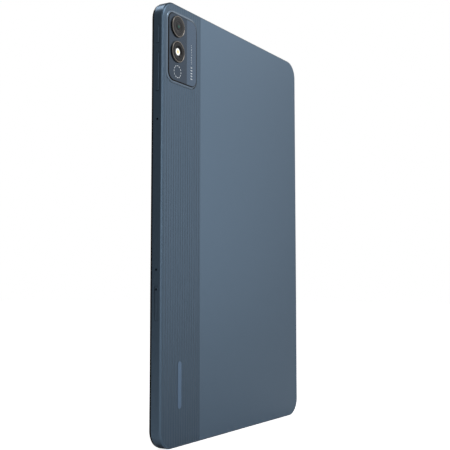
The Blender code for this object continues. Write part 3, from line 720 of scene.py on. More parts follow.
class StageSettings(bpy.types.PropertyGroup):
    """Where the camera stands and how it looks"""

    camera_place: bpy.props.FloatVectorProperty(
        name="Camera place",
        description="Where the camera stands",
        default=(-0.43807, -0.25927, 0.08393),
        subtype="TRANSLATION",
        size=3,
    )
    turn: bpy.props.FloatProperty(
        name="Turn",
        description="Camera's turn from looking square at the back",
        default=math.radians(-58.85),
        subtype="ANGLE",
    )
    tilt: bpy.props.FloatProperty(
        name="Tilt",
        description="How far the camera looks up",
        default=math.radians(5.008),
        subtype="ANGLE",
    )
    lens: bpy.props.FloatProperty(name="Lens", description="Focal length in millimetres", default=66.83)
    rise: bpy.props.FloatProperty(name="Vertical shift", description="Vertical lens shift", default=-0.02084)


GROUPS = (
    ("tablet_housing", HousingSettings),
    ("tablet_ribs", RibSettings),
    ("tablet_island", IslandSettings),
    ("tablet_keys", KeySettings),
    ("tablet_screen", ScreenSettings),
    ("tablet_stage", StageSettings),
)


# ---------------------------------------------------------------------------
# Pieces
# ---------------------------------------------------------------------------


def deep(depth):
    """The Y of a depth in millimetres, measured forward from the back."""
    return BACK + depth * MM


# Points of the back's bevel, drawn in and risen from the back, as shares of the bevel's size.
BACK_BEVEL = (
    (0.0, 1.04),
    (0.0, 1.0),
    (0.04, 0.95),
    (0.35, 0.56),
    (0.5, 0.4),
    (0.7, 0.2),
    (0.88, 0.06),
    (1.0, 0.0),
    (1.08, 0.0),
)
FRONT_SET_BACK = 0.3 * MM  # leaves the glass's black edge in sight
FRONT_CHAMFER = (0.05 * MM, 0.02 * MM)
SIDE_CUT_DEPTH = 2.4 * MM  # from the body's side to inside of the wall
BOSS_RADIUS = 1.5 * MM
BOSS_TOP = 2.05
THREAD_RADIUS = 0.75 * MM
THREAD_TOP = 3.0
SOCKET_MOUTH = (9.2 * MM, 3.44 * MM)
SOCKET_MOUTH_CORNER = 1.65 * MM
SEAT_CLEARANCE = 0.1 * MM
# Nodes that look through the back wall, and the clearance round each.
WINDOWS = (
    ("rear_camera_can", 0.4 * MM),
    ("cellular_antenna", 0.3 * MM),
    ("wireless_antenna", 0.3 * MM),
    ("flash_led", 0.4 * MM),
)
SPEAKER_HOLES = 8
SPEAKER_PITCH = 2.4 * MM
SPEAKER_MARGIN = 1.5 * MM
SPEAKER_CUT = 2.0 * MM


def cover_outline(name, first, last, grow, corner):
    """A prism with the ribbed cover's outline: round at the body's corners, square along its seam."""
    low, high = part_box("ribbed_panel")
    reach = corner + grow
    rings = []
    for y in (first, last):
        ring = [Vector((high.x + grow, y, low.z - grow)), Vector((high.x + grow, y, high.z + grow))]
        for corner_z, start in ((high.z - corner, 90), (low.z + corner, 180)):
            for step in range(CORNER_STEPS + 1):
                angle = math.radians(start + 90 * step / CORNER_STEPS)
                x = low.x + corner + reach * math.cos(angle)
                ring.append(Vector((x, y, corner_z + reach * math.sin(angle))))
        rings.append(ring)
    return skin(name, rings)


def side_slot(name, node, width, length):
    """A cutter for a key or the tray, through the side wall."""
    centre = Vector((0.0, SIDE_Y, middle(node).z))
    profile = ((0.0, LEFT - PAST), (0.0, LEFT + SIDE_CUT_DEPTH))
    return loft(name, on_side(centre), (width, length), width * 0.49, profile, steps=8)


def grown_box(name, node, grow):
    """A cutter a little larger than a node, for the window that it looks through."""
    low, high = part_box(node)
    more = Vector((grow, grow, grow))
    return block(name, low - more, high + more)


def speaker_rows():
    """Rows of round holes through both short sides, in front of the loudspeakers' meshes."""
    tree = row_tree()
    rows = []
    for node, edge_z in (("lower_speaker_mesh", 0.0), ("upper_speaker_mesh", HEIGHT)):
        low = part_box(node)[0]
        pin = bar("speaker_pin", (0.0, 0.0, -SPEAKER_CUT), (0.0, 0.0, SPEAKER_CUT), HOLE_RADIUS, 20)
        values = {
            "Shape": pin,
            "Count": SPEAKER_HOLES,
            "Start": (low.x + SPEAKER_MARGIN, SIDE_Y, edge_z),
            "Step": (SPEAKER_PITCH, 0.0, 0.0),
            "Material": None,
        }
        rows.append(run_tree(f"{node}_holes", tree, values))
        bpy.data.objects.remove(pin)
    return rows


def make_housing(context):
    """The metal tub, with its slots, holes, bosses and the seat for the ribbed cover."""
    settings, keys, ribs = context.scene.tablet_housing, context.scene.tablet_keys, context.scene.tablet_ribs
    centre = middle("rear_housing")
    chamfer_in, chamfer_down = FRONT_CHAMFER
    front = HOUSING_HIGH.y - FRONT_SET_BACK
    profile = [(chamfer_in, front), (0.0, front - chamfer_down)]
    profile += [(settings.edge * inset, BACK + settings.edge * rise) for inset, rise in BACK_BEVEL]
    tub = loft("housing", on_back(centre), (WIDTH, HEIGHT), settings.corner, profile, steps=20)
    inner = (WIDTH - 2 * settings.wall, HEIGHT - 2 * settings.wall)
    hollow = ((0.0, BACK + settings.floor), (0.0, HOUSING_HIGH.y + PAST))
    pocket = loft("pocket", on_back(centre), inner, settings.corner - settings.wall, hollow, steps=16)
    panel_low, panel_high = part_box("ribbed_panel")
    corner = settings.corner - (panel_low.x - LEFT)
    seat = cover_outline("seat", BACK - PAST, panel_high.y + SEAT_CLEARANCE, ribs.gap, corner)
    combine(tub, [pocket, seat])
    bosses, threads = [], []
    for node in frame["nodes"]:
        if "board_screw" in node:
            place = middle(node)
            start = (place.x, BACK + settings.floor - 0.3 * MM, place.z)
            bosses.append(bar("boss", start, (place.x, deep(BOSS_TOP), place.z), BOSS_RADIUS))
            start = (place.x, BACK + settings.floor + 0.1 * MM, place.z)
            threads.append(bar("thread", start, (place.x, deep(THREAD_TOP), place.z), THREAD_RADIUS))
    combine(tub, bosses, "UNION")
    gap = 2 * keys.gap
    usb = middle("usb_shell")
    mouth = ((0.0, -PAST), (0.0, settings.wall + PAST))
    usb_place = on_end(Vector((usb.x, usb.y, 0.0)))
    cutters = threads + [
        side_slot("power_slot", "power_button", keys.width + gap, keys.power + gap),
        side_slot("volume_slot", "volume_rocker", keys.width + gap, keys.volume + 2 * gap),
        side_slot("tray_slot", "card_tray", keys.tray_width + gap, keys.tray + gap),
        loft("usb_mouth", usb_place, SOCKET_MOUTH, SOCKET_MOUTH_CORNER, mouth, steps=12),
    ]
    cutters += [grown_box("window", node, clearance) for node, clearance in WINDOWS]
    for node in ("upper_microphone", "lower_microphone"):
        place = middle(node)
        start, end = (LEFT - PAST, SIDE_Y, place.z), (LEFT + SIDE_CUT_DEPTH, SIDE_Y, place.z)
        cutters.append(bar("microphone_hole", start, end, HOLE_RADIUS))
    combine(tub, cutters + speaker_rows())
    settle(tub, "tablet", "housing_metal", FINISHES["metal"], "rear_housing")


RIM_BAND = 1.3 * MM
RIM_CORNER = 6.2 * MM
OPENING_CORNER = 5.5 * MM
COVER_CORNER = 4.8 * MM
BORE_RADIUS = 4.75 * MM


def make_ribbed_cover(context):
    """The ribbed cover: a worked slab, trimmed to its outline and round the camera island."""
    ribs, housing = context.scene.tablet_ribs, context.scene.tablet_housing
    low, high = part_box("ribbed_panel")
    corner = housing.corner - (low.x - LEFT)
    values = {
        "Ribs": math.ceil((high.x - low.x) / ribs.pitch) + 1,
        "Pitch": ribs.pitch,
        "Height": high.z - low.z + 2 * PAST,
        "Groove Depth": ribs.depth,
        "Thickness": high.y - low.y - ribs.depth,
        "Centre": ((low.x + high.x) / 2, BACK, (low.z + high.z) / 2),
        "Material": FINISHES["ribs"],
    }
    cover = run_tree("ribbed_cover", ribbed_sheet_tree(), values)
    combine(cover, [cover_outline("trim", BACK - PAST, BACK + 2 * PAST, 0.0, corner)], "INTERSECT")
    rim_low, rim_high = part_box("camera_rim")
    opening = (rim_high.x - rim_low.x - RIM_BAND, rim_high.z - rim_low.z - RIM_BAND)
    through = ((0.0, BACK - PAST), (0.0, BACK + 2 * PAST))
    combine(cover, [loft("opening", on_back(middle("camera_rim")), opening, OPENING_CORNER, through)])
    settle(cover, "tablet", "ribbed_cover", FINISHES["ribs"], "ribbed_panel")


def make_island(context):
    """The island's cut rim, its raised cover and a black band round the cover, which is painted shade in the
    gap between the cover and the rim.
    """
    settings = context.scene.tablet_island
    low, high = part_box("camera_rim")
    size = (high.x - low.x, high.z - low.z)
    section = [
        (0.0, high.y),
        (0.02 * MM, high.y - 0.04 * MM),
        (0.8 * MM, low.y + 0.03 * MM),
        (0.92 * MM, low.y),
        (1.2 * MM, low.y),
        (1.28 * MM, low.y + 0.06 * MM),
        (RIM_BAND, high.y),
    ]
    place = on_back(middle("camera_rim"))
    rim = loft("camera_rim_ring", place, size, RIM_CORNER, section, steps=14, closed=True)
    settle(rim, "tablet", "rim_metal", FINISHES["rim"], "camera_rim")
    low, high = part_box("camera_plate")
    size = (high.x - low.x, high.z - low.z)
    inset = settings.border
    section = [(inset, high.y)] + fillet(inset, low.y, 0.15 * MM, -1) + [(inset + 0.3 * MM, low.y)]
    place = on_back(middle("camera_plate"))
    plate = loft("camera_cover", place, size, COVER_CORNER, section, steps=14)
    # The black band round the cover is painted shade: it darkens the gap between the cover and the rim, where
    # shade falls.
    section = (
        (0.0, high.y),
        (0.0, low.y + 0.2 * MM),
        (0.12 * MM, low.y + 0.05 * MM),
        (0.2 * MM, low.y + 0.01 * MM),
        (settings.border - 0.04 * MM, low.y + 0.01 * MM),
        (settings.border, high.y),
    )
    gap_shade = loft("island_seal", place, size, COVER_CORNER, section, steps=14, closed=True)
    settle(gap_shade, "tablet", "seal_rubber", FINISHES["rubber"])
    bores = []
    for node in ("lens_ring_main", "lens_ring_flash"):
        place = middle(node)
        start, end = (place.x, low.y - PAST, place.z), (place.x, high.y + PAST, place.z)
        bores.append(bar("bore", start, end, BORE_RADIUS, ROUND_STEPS))
    combine(plate, bores)
    settle(plate, "tablet", "camera_cover", FINISHES["island"], "camera_plate")


# Sections of the turned pieces, as radius and depth in millimetres. The back is at zero.
RING_SECTION = (
    (6.0, -0.9),
    (6.0, -1.35),
    (5.96, -1.52),
    (5.86, -1.68),
    (5.72, -1.78),
    (5.58, -1.8),
    (5.46, -1.76),
    (5.3, -1.62),
    (5.3, -1.1),
    (4.0, -1.1),
    (4.0, 0.5),
    (4.7, 0.5),
    (4.7, -0.9),
)
WINDOW_EDGE = ((5.2, -1.15), (5.2, -1.58), (5.12, -1.66), (5.0, -1.68))
MASK_STEPS = (
    (3.9, -1.68),
    (3.84, -1.62),
    (3.3, -1.62),
    (3.24, -1.54),
    (2.75, -1.54),
    (2.2, -1.3),
    (2.05, -1.3),
)
DOME_RADIUS, DOME_BASE, DOME_RISE = 2.0, -1.32, 0.3
FLASH_CONE = ((3.4, -1.68), (3.3, -1.66), (2.45, -1.2))
DIFFUSER_EDGE = ((0.0, -0.45), (2.3, -0.45), (2.3, -0.95), (2.2, -1.06))
DIFFUSER_TOP = ((0.3, -1.12), (0.0, -1.14))
RIDGES = 5


def in_metres(profile):
    """A profile of millimetres, radius and depth, as metres and Y."""
    return [(radius * MM, deep(depth)) for radius, depth in profile]


def make_lenses(context):
    """Both lens rings, the camera's window with its stepped mask, and the flash behind the other."""
    for label in ("main", "flash"):
        ring = turned(f"ring_{label}", middle(f"lens_ring_{label}"), in_metres(RING_SECTION), closed=True)
        settle(ring, "tablet", "ring_metal", FINISHES["ring"], f"lens_ring_{label}")
    angles = [math.radians(step) for step in range(0, 90, 15)]
    dome = tuple((DOME_RADIUS * math.cos(a), DOME_BASE - DOME_RISE * math.sin(a)) for a in angles)
    window = ((0.0, WINDOW_EDGE[0][1]),) + WINDOW_EDGE + MASK_STEPS + dome + ((0.0, DOME_BASE - DOME_RISE),)
    glass = turned("camera_window_glass", middle("lens_glass_main"), in_metres(window))
    settle(glass, "tablet", "lens_glass", FINISHES["lens_main"], "lens_glass_main")
    mask = ((2.4, WINDOW_EDGE[0][1]),) + WINDOW_EDGE + FLASH_CONE
    collar = turned("flash_window_glass", middle("lens_glass_flash"), in_metres(mask), closed=True)
    settle(collar, "tablet", "lens_glass", FINISHES["lens_flash"], "lens_glass_flash")
    ridges = ()
    for ridge in range(RIDGES):
        outer = 2.05 - 0.32 * ridge
        ridges += ((outer, -1.0 - 0.012 * ridge), (outer - 0.05, -1.08 - 0.012 * ridge))
    lens = DIFFUSER_EDGE + ridges + DIFFUSER_TOP
    diffuser = turned("flash_diffuser_lens", middle("flash_lens"), in_metres(lens))
    settle(diffuser, "tablet", "flash_diffuser", FINISHES["flash"], "flash_lens")


CAP_ROUND = 0.28 * MM
FLANGE_DEPTH = 0.7 * MM  # from the flange's outer face to the nubs' ends
FLANGE_REACH = 1.1 * MM  # past each end of the cap
FLANGE_HALF = 0.9 * MM
NUB_LENGTH = 0.2 * MM
NUB_RADIUS = 0.7 * MM
ROCKER_NUBS = (-7.5 * MM, 7.5 * MM)


def key_cap(name, node, width, length, body):
    """A key's cap with a softly rounded, slightly dished face, and the flange inside the wall."""
    low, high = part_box(node)
    centre = Vector((0.0, SIDE_Y, middle(node).z))
    flange_x = high.x - FLANGE_DEPTH
    section = [(0.0, flange_x + 0.1 * MM)] + fillet(0.0, low.x, CAP_ROUND, -1, 5)
    section += [(0.45 * MM, low.x + 0.01 * MM), (0.7 * MM, low.x + 0.03 * MM)]
    cap = loft(name, on_side(centre), (width, length), width * 0.49, section, steps=10)
    reach = length / 2 + FLANGE_REACH
    flange_low = (flange_x, SIDE_Y - FLANGE_HALF, centre.z - reach)
    flange_high = (high.x - NUB_LENGTH, SIDE_Y + FLANGE_HALF, centre.z + reach)
    tools = [block("flange", flange_low, flange_high, 0.1 * MM, 2)]
    for offset in (0.0,) if node == "power_button" else ROCKER_NUBS:
        start = (high.x - NUB_LENGTH - 0.1 * MM, SIDE_Y, centre.z + offset)
        tools.append(bar("nub", start, (high.x, SIDE_Y, centre.z + offset), NUB_RADIUS, 20))
    combine(cap, tools, "UNION")
    settle(cap, body, "housing_metal", FINISHES["metal"], node)


def make_keys(context):
    """The power button and the volume rocker."""
    keys = context.scene.tablet_keys
    key_cap("power_key_cap", "power_button", keys.width, keys.power, "power_key")
    key_cap("volume_key_cap", "volume_rocker", keys.width, keys.volume, "volume_key")


FACE_DEPTH = 1.0 * MM
NECK_DEPTH = 1.75 * MM
NECK_HALF = (0.55 * MM, 8.3 * MM)
CARRIER_BACK, CARRIER_FRONT = 0.5 * MM, 0.4 * MM
CARRIER_BELOW, CARRIER_ABOVE = 7.7 * MM, 5.7 * MM
# The hollow for the card and the window for its contacts: how far in from the neck, from the far end and
# from both long rims.
CARD_POCKET = (2.0 * MM, 1.5 * MM, 1.2 * MM)
CONTACT_WINDOW = (4.0 * MM, 3.5 * MM, 2.4 * MM)


def make_card_tray(context):
    """The tray's metal face with its ejector hole, and the black carrier behind it."""
    keys = context.scene.tablet_keys
    low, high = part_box("card_tray")
    rod = middle("eject_rod")
    centre = Vector((0.0, SIDE_Y, (low.z + high.z) / 2))
    section = [(0.0, low.x + FACE_DEPTH)] + fillet(0.0, low.x, 0.12 * MM, -1, 4) + [(0.2 * MM, low.x)]
    face = loft("tray_face", on_side(centre), (keys.tray_width, keys.tray), keys.tray_width * 0.49, section)
    hole_start, hole_end = (low.x - PAST, SIDE_Y, rod.z), (low.x + 3 * PAST, SIDE_Y, rod.z)
    combine(face, [bar("eject_hole", hole_start, hole_end, HOLE_RADIUS)])
    settle(face, "tray", "housing_metal", FINISHES["metal"], "card_tray")
    neck_x = low.x + NECK_DEPTH
    thick, tall = NECK_HALF
    neck_low = (low.x + FACE_DEPTH, SIDE_Y - thick, centre.z - tall)
    carrier = block("tray_carrier", neck_low, (neck_x + 0.05 * MM, SIDE_Y + thick, centre.z + tall), 0.1 * MM)
    frame_low = (neck_x - 0.1 * MM, SIDE_Y - CARRIER_BACK, centre.z - CARRIER_BELOW)
    frame_high = (high.x, SIDE_Y + CARRIER_FRONT, centre.z + CARRIER_ABOVE)
    combine(carrier, [block("carrier_frame", frame_low, frame_high, 0.15 * MM)], "UNION")
    cutters = []
    for back, (near, far, rim) in ((0.3 * MM, CARD_POCKET), (PAST, CONTACT_WINDOW)):
        cut_low = (neck_x + near, SIDE_Y - back, frame_low[2] + rim)
        cut_high = (high.x - far, SIDE_Y + PAST, frame_high[2] - rim)
        cutters.append(block("carrier_cut", cut_low, cut_high, 0.1 * MM))
    cutters.append(bar("rod_hole", hole_start, hole_end, HOLE_RADIUS))
    combine(carrier, cutters)
    settle(carrier, "tray", "black_plastic", FINISHES["plastic"], "card_tray")


def make_screen(context):
    """The cover glass with its rounded edge."""
    screen = context.scene.tablet_screen
    size = (GLASS_HIGH.x - GLASS_LOW.x, GLASS_HIGH.z - GLASS_LOW.z)
    section = [(0.05 * MM, GLASS_LOW.y), (0.0, GLASS_LOW.y + 0.05 * MM), (0.0, GLASS_LOW.y + 0.07 * MM)]
    section.append((0.0, GLASS_HIGH.y - screen.edge - TINY))
    section += fillet(0.0, GLASS_HIGH.y, screen.edge, 1, 8) + [(screen.edge + 0.2 * MM, GLASS_HIGH.y)]
    glass = loft("screen_cover", on_back(middle("cover_glass")), size, screen.corner, section, steps=20)
    settle(glass, "tablet", "screen_glass", FINISHES["screen"], "cover_glass")


SHELL_CORNER = 1.55 * MM
SHELL_WALL = 0.3 * MM
CONTACTS = 12
CONTACT_PITCH = 0.5 * MM
CONTACT_HALF = Vector((0.13, 0.02, 1.6)) * MM


def make_socket(context):
    """The charging socket's drawn shell, its tongue and the contacts on both faces of the tongue."""
    low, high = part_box("usb_shell")
    size = (high.x - low.x, high.y - low.y)
    place = on_end(middle("usb_shell"))
    section = (
        (0.0, high.z),
        (0.0, low.z + 0.06 * MM),
        (0.06 * MM, low.z),
        (0.24 * MM, low.z),
        (SHELL_WALL, low.z + 0.06 * MM),
        (SHELL_WALL, high.z - 1.0 * MM),
    )
    shell = loft("socket_shell", place, size, SHELL_CORNER, section, steps=12)
    settle(shell, "tablet", "shield_steel", FINISHES["steel"], "usb_shell")
    low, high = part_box("usb_tongue")
    tongue = block("socket_tongue", low, high, 0.12 * MM)
    settle(tongue, "tablet", "black_plastic", FINISHES["plastic"], "usb_tongue")
    pad = block("pad", -CONTACT_HALF, CONTACT_HALF, 0.015 * MM, 2)
    tree = row_tree()
    for label, y in (("rear", low.y), ("front", high.y)):
        values = {
            "Shape": pad,
            "Count": CONTACTS,
            "Start": (
                (low.x + high.x) / 2 - CONTACT_PITCH * (CONTACTS - 1) / 2,
                y,
                (low.z + high.z) / 2 - CONTACT_HALF.z / 2,
            ),
            "Step": (CONTACT_PITCH, 0.0, 0.0),
            "Material": FINISHES["gold"],
        }
        contacts = run_tree(f"socket_contacts_{label}", tree, values)
        settle(contacts, "tablet", "copper_foil", FINISHES["gold"])
    bpy.data.objects.remove(pad)


# Places of the printed marks, from the body's left side and from its top.
DASH_RING = (12.8 * MM, 38.2 * MM)
DASH_RING_RADIUS = 3.3 * MM
DASHES = 12
TICKS_X = 26.6 * MM
TICK_ROWS = (
    # name, half width, half height, count, first from the top and step, in millimetres
    ("short_ticks", 0.32, 0.16, 12, 20.2, 0.95),
    ("long_ticks", 0.85, 0.32, 5, 32.9, 1.62),
)
MARK_PLACE = (17.6 * MM, 208.1 * MM)
MARK_SIZE = (3.4 * MM, 25.0 * MM)


def make_marks(context):
    """Plain printed marks: dashes in a ring and rows of ticks on the island, and a bar on the ribs."""
    print_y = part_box("camera_plate")[0].y
    half = Vector((0.24, 0.015, 0.5)) * MM
    dash = block("dash", -half, half)
    values = {
        "Shape": dash,
        "Count": DASHES,
        "Centre": (LEFT + DASH_RING[0], print_y, HEIGHT - DASH_RING[1]),
        "Radius": DASH_RING_RADIUS,
        "Material": FINISHES["ink"],
    }
    settle(run_tree("printed_dashes", ring_tree(), values), "tablet", "flash_diffuser", FINISHES["ink"])
    bpy.data.objects.remove(dash)
    for name, half_width, half_height, count, first, step in TICK_ROWS:
        half = Vector((half_width, 0.015, half_height)) * MM
        tick = block("tick", -half, half)
        values = {
            "Shape": tick,
            "Count": count,
            "Start": (LEFT + TICKS_X, print_y, HEIGHT - first * MM),
            "Step": (0.0, 0.0, -step * MM),
            "Material": FINISHES["ink"],
        }
        settle(run_tree(name, row_tree(), values), "tablet", "flash_diffuser", FINISHES["ink"])
        bpy.data.objects.remove(tick)
    centre = Vector((LEFT + MARK_PLACE[0], 0.0, HEIGHT - MARK_PLACE[1]))
    section = [(0.0, deep(0.2)), (0.0, deep(-0.01)), (0.04 * MM, deep(-0.03)), (0.2 * MM, deep(-0.03))]
    mark = loft("plain_mark", on_back(centre), MARK_SIZE, MARK_SIZE[0] / 2 - TINY, section)
    settle(mark, "tablet", "rim_metal", FINISHES["mark"])


def make_inner_parts(context):
    """Finishes for the frame's own nodes, which keep their shape."""
    by_slot = {
        "black_plastic": FINISHES["plastic"],
        "circuit_board": circuit_board(),
        "shield_steel": FINISHES["steel"],
        "battery_pouch": speckled("battery_pouch", (0.02, 0.02, 0.022), 0.45, 0.3, 700.0, 0.2, 0.05 * MM),
        "flex_film": striped_film("flex_film", (0.30, 0.11, 0.02), (0.45, 0.18, 0.05), 900.0),
        "copper_foil": FINISHES["gold"],
        "seal_rubber": FINISHES["rubber"],
        "screw_steel": cut_metal("screw_steel", (0.22, 0.22, 0.23), 0.3),
        "flash_phosphor": speckled("flash_phosphor", (0.85, 0.6, 0.08), 0.5, 0.0, 4000.0, 0.1, 0.02 * MM),
        "display_layer": striped_film("display_cell", (0.008, 0.008, 0.010), (0.014, 0.013, 0.016), 3500.0),
        "light_guide": dotted_film(),
    }
    for row in frame["record"]["subparts"]:
        node = frame["nodes"][row["node"]]
        finish = by_slot.get(row["material_slot"])
        if node.hide_render or finish is None:
            continue
        if "speaker_mesh" in row["node"]:
            finish = FINISHES["dust_mesh"]
        node.data.materials.clear()
        node.data.materials.append(finish)


def make_finishes(context):
    """All shared finishes, from the settings."""
    scene = context.scene
    housing, ribs = scene.tablet_housing, scene.tablet_ribs
    island, screen = scene.tablet_island, scene.tablet_screen
    glass_size = (GLASS_HIGH.x - GLASS_LOW.x, GLASS_HIGH.z - GLASS_LOW.z)
    black = (0.008, 0.008, 0.009)
    main_rings = (
        (0.0, (0.015, 0.11, 0.08)),
        (0.1, (0.015, 0.09, 0.065)),
        (0.2, (0.02, 0.02, 0.022)),
        (0.38, (0.02, 0.02, 0.022)),
        (0.42, (0.05, 0.05, 0.052)),
        (0.5, black),
        (0.62, (0.045, 0.045, 0.047)),
        (0.7, (0.018, 0.018, 0.02)),
        (0.9, (0.035, 0.035, 0.037)),
    )
    flash_rings = ((0.42, (0.03, 0.03, 0.032)), (0.5, black), (0.8, (0.02, 0.02, 0.022)), (0.86, black))
    FINISHES.update(
        metal=anodised_metal(tuple(housing.colour), housing.gloss),
        ribs=ribbed_satin(tuple(ribs.colour), housing.gloss),
        island=island_glass(tuple(island.dark), tuple(island.light), LEFT + island.strip, 0.22),
        rim=cut_metal("cut_rim", tuple(island.rim), 0.18),
        ring=cut_metal("lens_ring_metal", tuple(island.ring), 0.24),
        lens_main=lens_black("lens_main", middle("lens_glass_main"), main_rings),
        lens_flash=lens_black("lens_flash", middle("lens_glass_flash"), flash_rings),
        flash=flash_diffuser(middle("flash_lens")),
        screen=screen_glass(middle("cover_glass"), glass_size, screen.border, middle("front_camera")),
        plastic=moulded_plastic("black_plastic", (0.014, 0.014, 0.015), 0.5),
        rubber=moulded_plastic("seal_rubber", (0.012, 0.012, 0.012), 0.75),
        steel=cut_metal("shield_steel", (0.50, 0.51, 0.52), 0.32),
        gold=cut_metal("contact_gold", (0.80, 0.52, 0.22), 0.28),
        ink=printed_ink((0.55, 0.60, 0.64)),
        mark=speckled("plain_mark", (0.11, 0.18, 0.28), 0.40, 0.6, 7000.0, 0.05, 0.003 * MM),
        dust_mesh=woven_mesh(),
    )


BODY_MIDDLE = (0.0, 0.0, HEIGHT / 2)
FLOOR_HALF = 4.0
WHITE = (1.0, 1.0, 1.0, 1.0)
STUDIO_LIGHT = 0.2  # what the white surroundings give as light; they look fully white
LIGHTS = (
    # name, place, aim, size and power in watts
    ("key_light", (0.75, -1.15, 0.5), BODY_MIDDLE, (1.7, 1.7), 9.2),
    ("top_light", (-0.1, 0.42, 1.0), BODY_MIDDLE, (0.4, 0.2), 1.1),
    ("fill_light", (-0.85, -0.9, 0.4), BODY_MIDDLE, (0.4, 0.8), 1.5),
    ("side_light", (1.0, -0.25, 0.8), BODY_MIDDLE, (0.4, 0.4), 0.45),
    ("floor_light", (-0.05, -0.32, 0.5), (-0.05, -0.27, 0.0), (0.35, 0.3), 0.9),
)


def floor_paper():
    """White paper, lifted to white where it is looked at, so that only a faint contact shadow is left."""
    paper = plain("floor_paper", (0.88, 0.88, 0.88), 0.7)
    grain = noise(paper, 300.0)
    feed(paper, "Base Color", ramp(paper, grain, ((0.3, (0.87, 0.87, 0.87)), (0.7, (0.89, 0.89, 0.89)))))
    looked_at = add_node(paper.node_tree, "ShaderNodeLightPath").outputs["Is Camera Ray"]
    paper.node_tree.nodes["Principled BSDF"].inputs["Emission Color"].default_value = WHITE
    feed(paper, "Emission Strength", span(paper, looked_at, 0.0, 1.0, 0.0, 0.85))
    return paper


def area_light(name, place, target, size, power):
    """A soft rectangular lamp aimed at a point."""
    lamp = bpy.data.lights.new(name, "AREA")
    lamp.shape = "RECTANGLE"
    lamp.size = size[0]
    lamp.size_y = size[1]
    lamp.energy = power
    made = bpy.data.objects.new(name, lamp)
    made.location = place
    made.rotation_euler = (Vector(target) - Vector(place)).to_track_quat("-Z", "Y").to_euler()
    bpy.context.scene.collection.objects.link(made)


def make_stage(context):
    """Pale floor, soft studio light and the camera."""
    settings = context.scene.tablet_stage
    work = bmesh.new()
    bmesh.ops.create_grid(work, x_segments=1, y_segments=1, size=FLOOR_HALF)
    floor = link_mesh("floor", work)
    floor.data.materials.append(floor_paper())
    world = bpy.data.worlds.new("studio")
    world.use_nodes = True
    tree = world.node_tree
    surroundings = tree.nodes["Background"]
    surroundings.inputs["Color"].default_value = WHITE
    surroundings.inputs["Strength"].default_value = STUDIO_LIGHT
    seen = add_node(tree, "ShaderNodeBackground", {"Color": WHITE, "Strength": 1.0}).outputs["Background"]
    looked_at = add_node(tree, "ShaderNodeLightPath").outputs["Is Camera Ray"]
    sockets = {"Fac": looked_at, 1: surroundings.outputs["Background"], 2: seen}
    either = add_node(tree, "ShaderNodeMixShader", sockets)
    tree.links.new(either.outputs["Shader"], tree.nodes["World Output"].inputs["Surface"])
    context.scene.world = world
    context.scene.view_settings.view_transform = "Standard"
    for row in LIGHTS:
        area_light(*row)
    lens = bpy.data.cameras.new("camera")
    lens.lens = settings.lens
    lens.sensor_width = 36.0
    lens.shift_y = settings.rise
    lens.clip_start = 0.01
    camera = bpy.data.objects.new("camera", lens)
    camera.location = settings.camera_place
    camera.rotation_euler = (math.pi / 2 + settings.tilt, 0.0, settings.turn)
    context.scene.collection.objects.link(camera)
    context.scene.camera = camera


# ---------------------------------------------------------------------------
# Operators, panel and registration
# ---------------------------------------------------------------------------


class TABLET_OT_finishes(bpy.types.Operator):
    """Make the materials that the pieces share"""

    bl_idname = "tablet.finishes"
    bl_label = "Finishes"

    def execute(self, context):
        make_finishes(context)
        return {"FINISHED"}


class TABLET_OT_stage(bpy.types.Operator):
    """Make the floor, the lights and the camera"""

    bl_idname = "tablet.stage"
    bl_label = "Stage"

    def execute(self, context):
        make_stage(context)
        return {"FINISHED"}


class TABLET_OT_housing(bpy.types.Operator):
    """Make the metal housing"""

    bl_idname = "tablet.housing"
    bl_label = "Housing"

    def execute(self, context):
        make_housing(context)
        return {"FINISHED"}


class TABLET_OT_ribbed_cover(bpy.types.Operator):
    """Make the ribbed cover"""

    bl_idname = "tablet.ribbed_cover"
    bl_label = "Ribbed cover"

    def execute(self, context):
        make_ribbed_cover(context)
        return {"FINISHED"}


class TABLET_OT_island(bpy.types.Operator):
    """Make the camera island's rim, seal and cover"""

    bl_idname = "tablet.island"
    bl_label = "Camera island"

    def execute(self, context):
        make_island(context)
        return {"FINISHED"}


class TABLET_OT_lenses(bpy.types.Operator):
    """Make the lens rings, their windows and the flash"""

    bl_idname = "tablet.lenses"
    bl_label = "Lenses and flash"

    def execute(self, context):
        make_lenses(context)
        return {"FINISHED"}


class TABLET_OT_keys(bpy.types.Operator):
    """Make the power button and the volume rocker"""

    bl_idname = "tablet.keys"
    bl_label = "Keys"

    def execute(self, context):
        make_keys(context)
        return {"FINISHED"}


class TABLET_OT_card_tray(bpy.types.Operator):
    """Make the card tray"""

    bl_idname = "tablet.card_tray"
    bl_label = "Card tray"

    def execute(self, context):
        make_card_tray(context)
        return {"FINISHED"}


class TABLET_OT_screen(bpy.types.Operator):
    """Make the screen's cover glass"""

    bl_idname = "tablet.screen"
    bl_label = "Screen"

    def execute(self, context):
        make_screen(context)
        return {"FINISHED"}


class TABLET_OT_socket(bpy.types.Operator):
    """Make the charging socket"""

    bl_idname = "tablet.socket"
    bl_label = "Charging socket"

    def execute(self, context):
        make_socket(context)
        return {"FINISHED"}


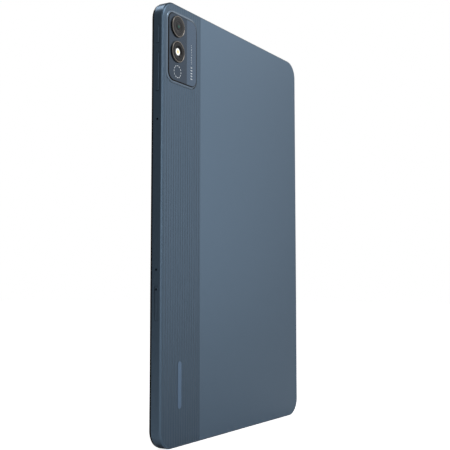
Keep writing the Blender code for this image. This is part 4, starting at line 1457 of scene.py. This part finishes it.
class TABLET_OT_marks(bpy.types.Operator):
    """Make the plain printed marks"""

    bl_idname = "tablet.marks"
    bl_label = "Printed marks"

    def execute(self, context):
        make_marks(context)
        return {"FINISHED"}


class TABLET_OT_inner_parts(bpy.types.Operator):
    """Give the inner parts their finishes"""

    bl_idname = "tablet.inner_parts"
    bl_label = "Inner parts"

    def execute(self, context):
        make_inner_parts(context)
        return {"FINISHED"}


OPERATORS = (
    TABLET_OT_finishes,
    TABLET_OT_stage,
    TABLET_OT_housing,
    TABLET_OT_ribbed_cover,
    TABLET_OT_island,
    TABLET_OT_lenses,
    TABLET_OT_keys,
    TABLET_OT_card_tray,
    TABLET_OT_screen,
    TABLET_OT_socket,
    TABLET_OT_marks,
    TABLET_OT_inner_parts,
)


class VIEW3D_PT_tablet(bpy.types.Panel):
    """Steps and settings for the tablet computer"""

    bl_label = "Tablet Computer"
    bl_space_type = "VIEW_3D"
    bl_region_type = "UI"
    bl_category = "Tablet"

    def draw(self, context):
        """Lists the steps, and the settings that they read."""
        for operator in OPERATORS:
            self.layout.operator(operator.bl_idname)
        for attribute, group in GROUPS:
            section = self.layout.box()
            section.label(text=group.__name__.replace("Settings", ""))
            for name in group.__annotations__:
                section.prop(getattr(context.scene, attribute), name)


def register():
    """Registers the settings, the steps and the panel."""
    for attribute, group in GROUPS:
        bpy.utils.register_class(group)
        setattr(bpy.types.Scene, attribute, bpy.props.PointerProperty(type=group))
    for operator in OPERATORS:
        bpy.utils.register_class(operator)
    bpy.utils.register_class(VIEW3D_PT_tablet)


def unregister():
    """Takes everything back that register gave."""
    bpy.utils.unregister_class(VIEW3D_PT_tablet)
    for operator in reversed(OPERATORS):
        bpy.utils.unregister_class(operator)
    for attribute, group in reversed(GROUPS):
        delattr(bpy.types.Scene, attribute)
        bpy.utils.unregister_class(group)


def main():
    """Makes every piece in order."""
    register()
    for operator in OPERATORS:
        category, name = operator.bl_idname.split(".")
        getattr(getattr(bpy.ops, category), name)()


if __name__ == "__main__":
    main()
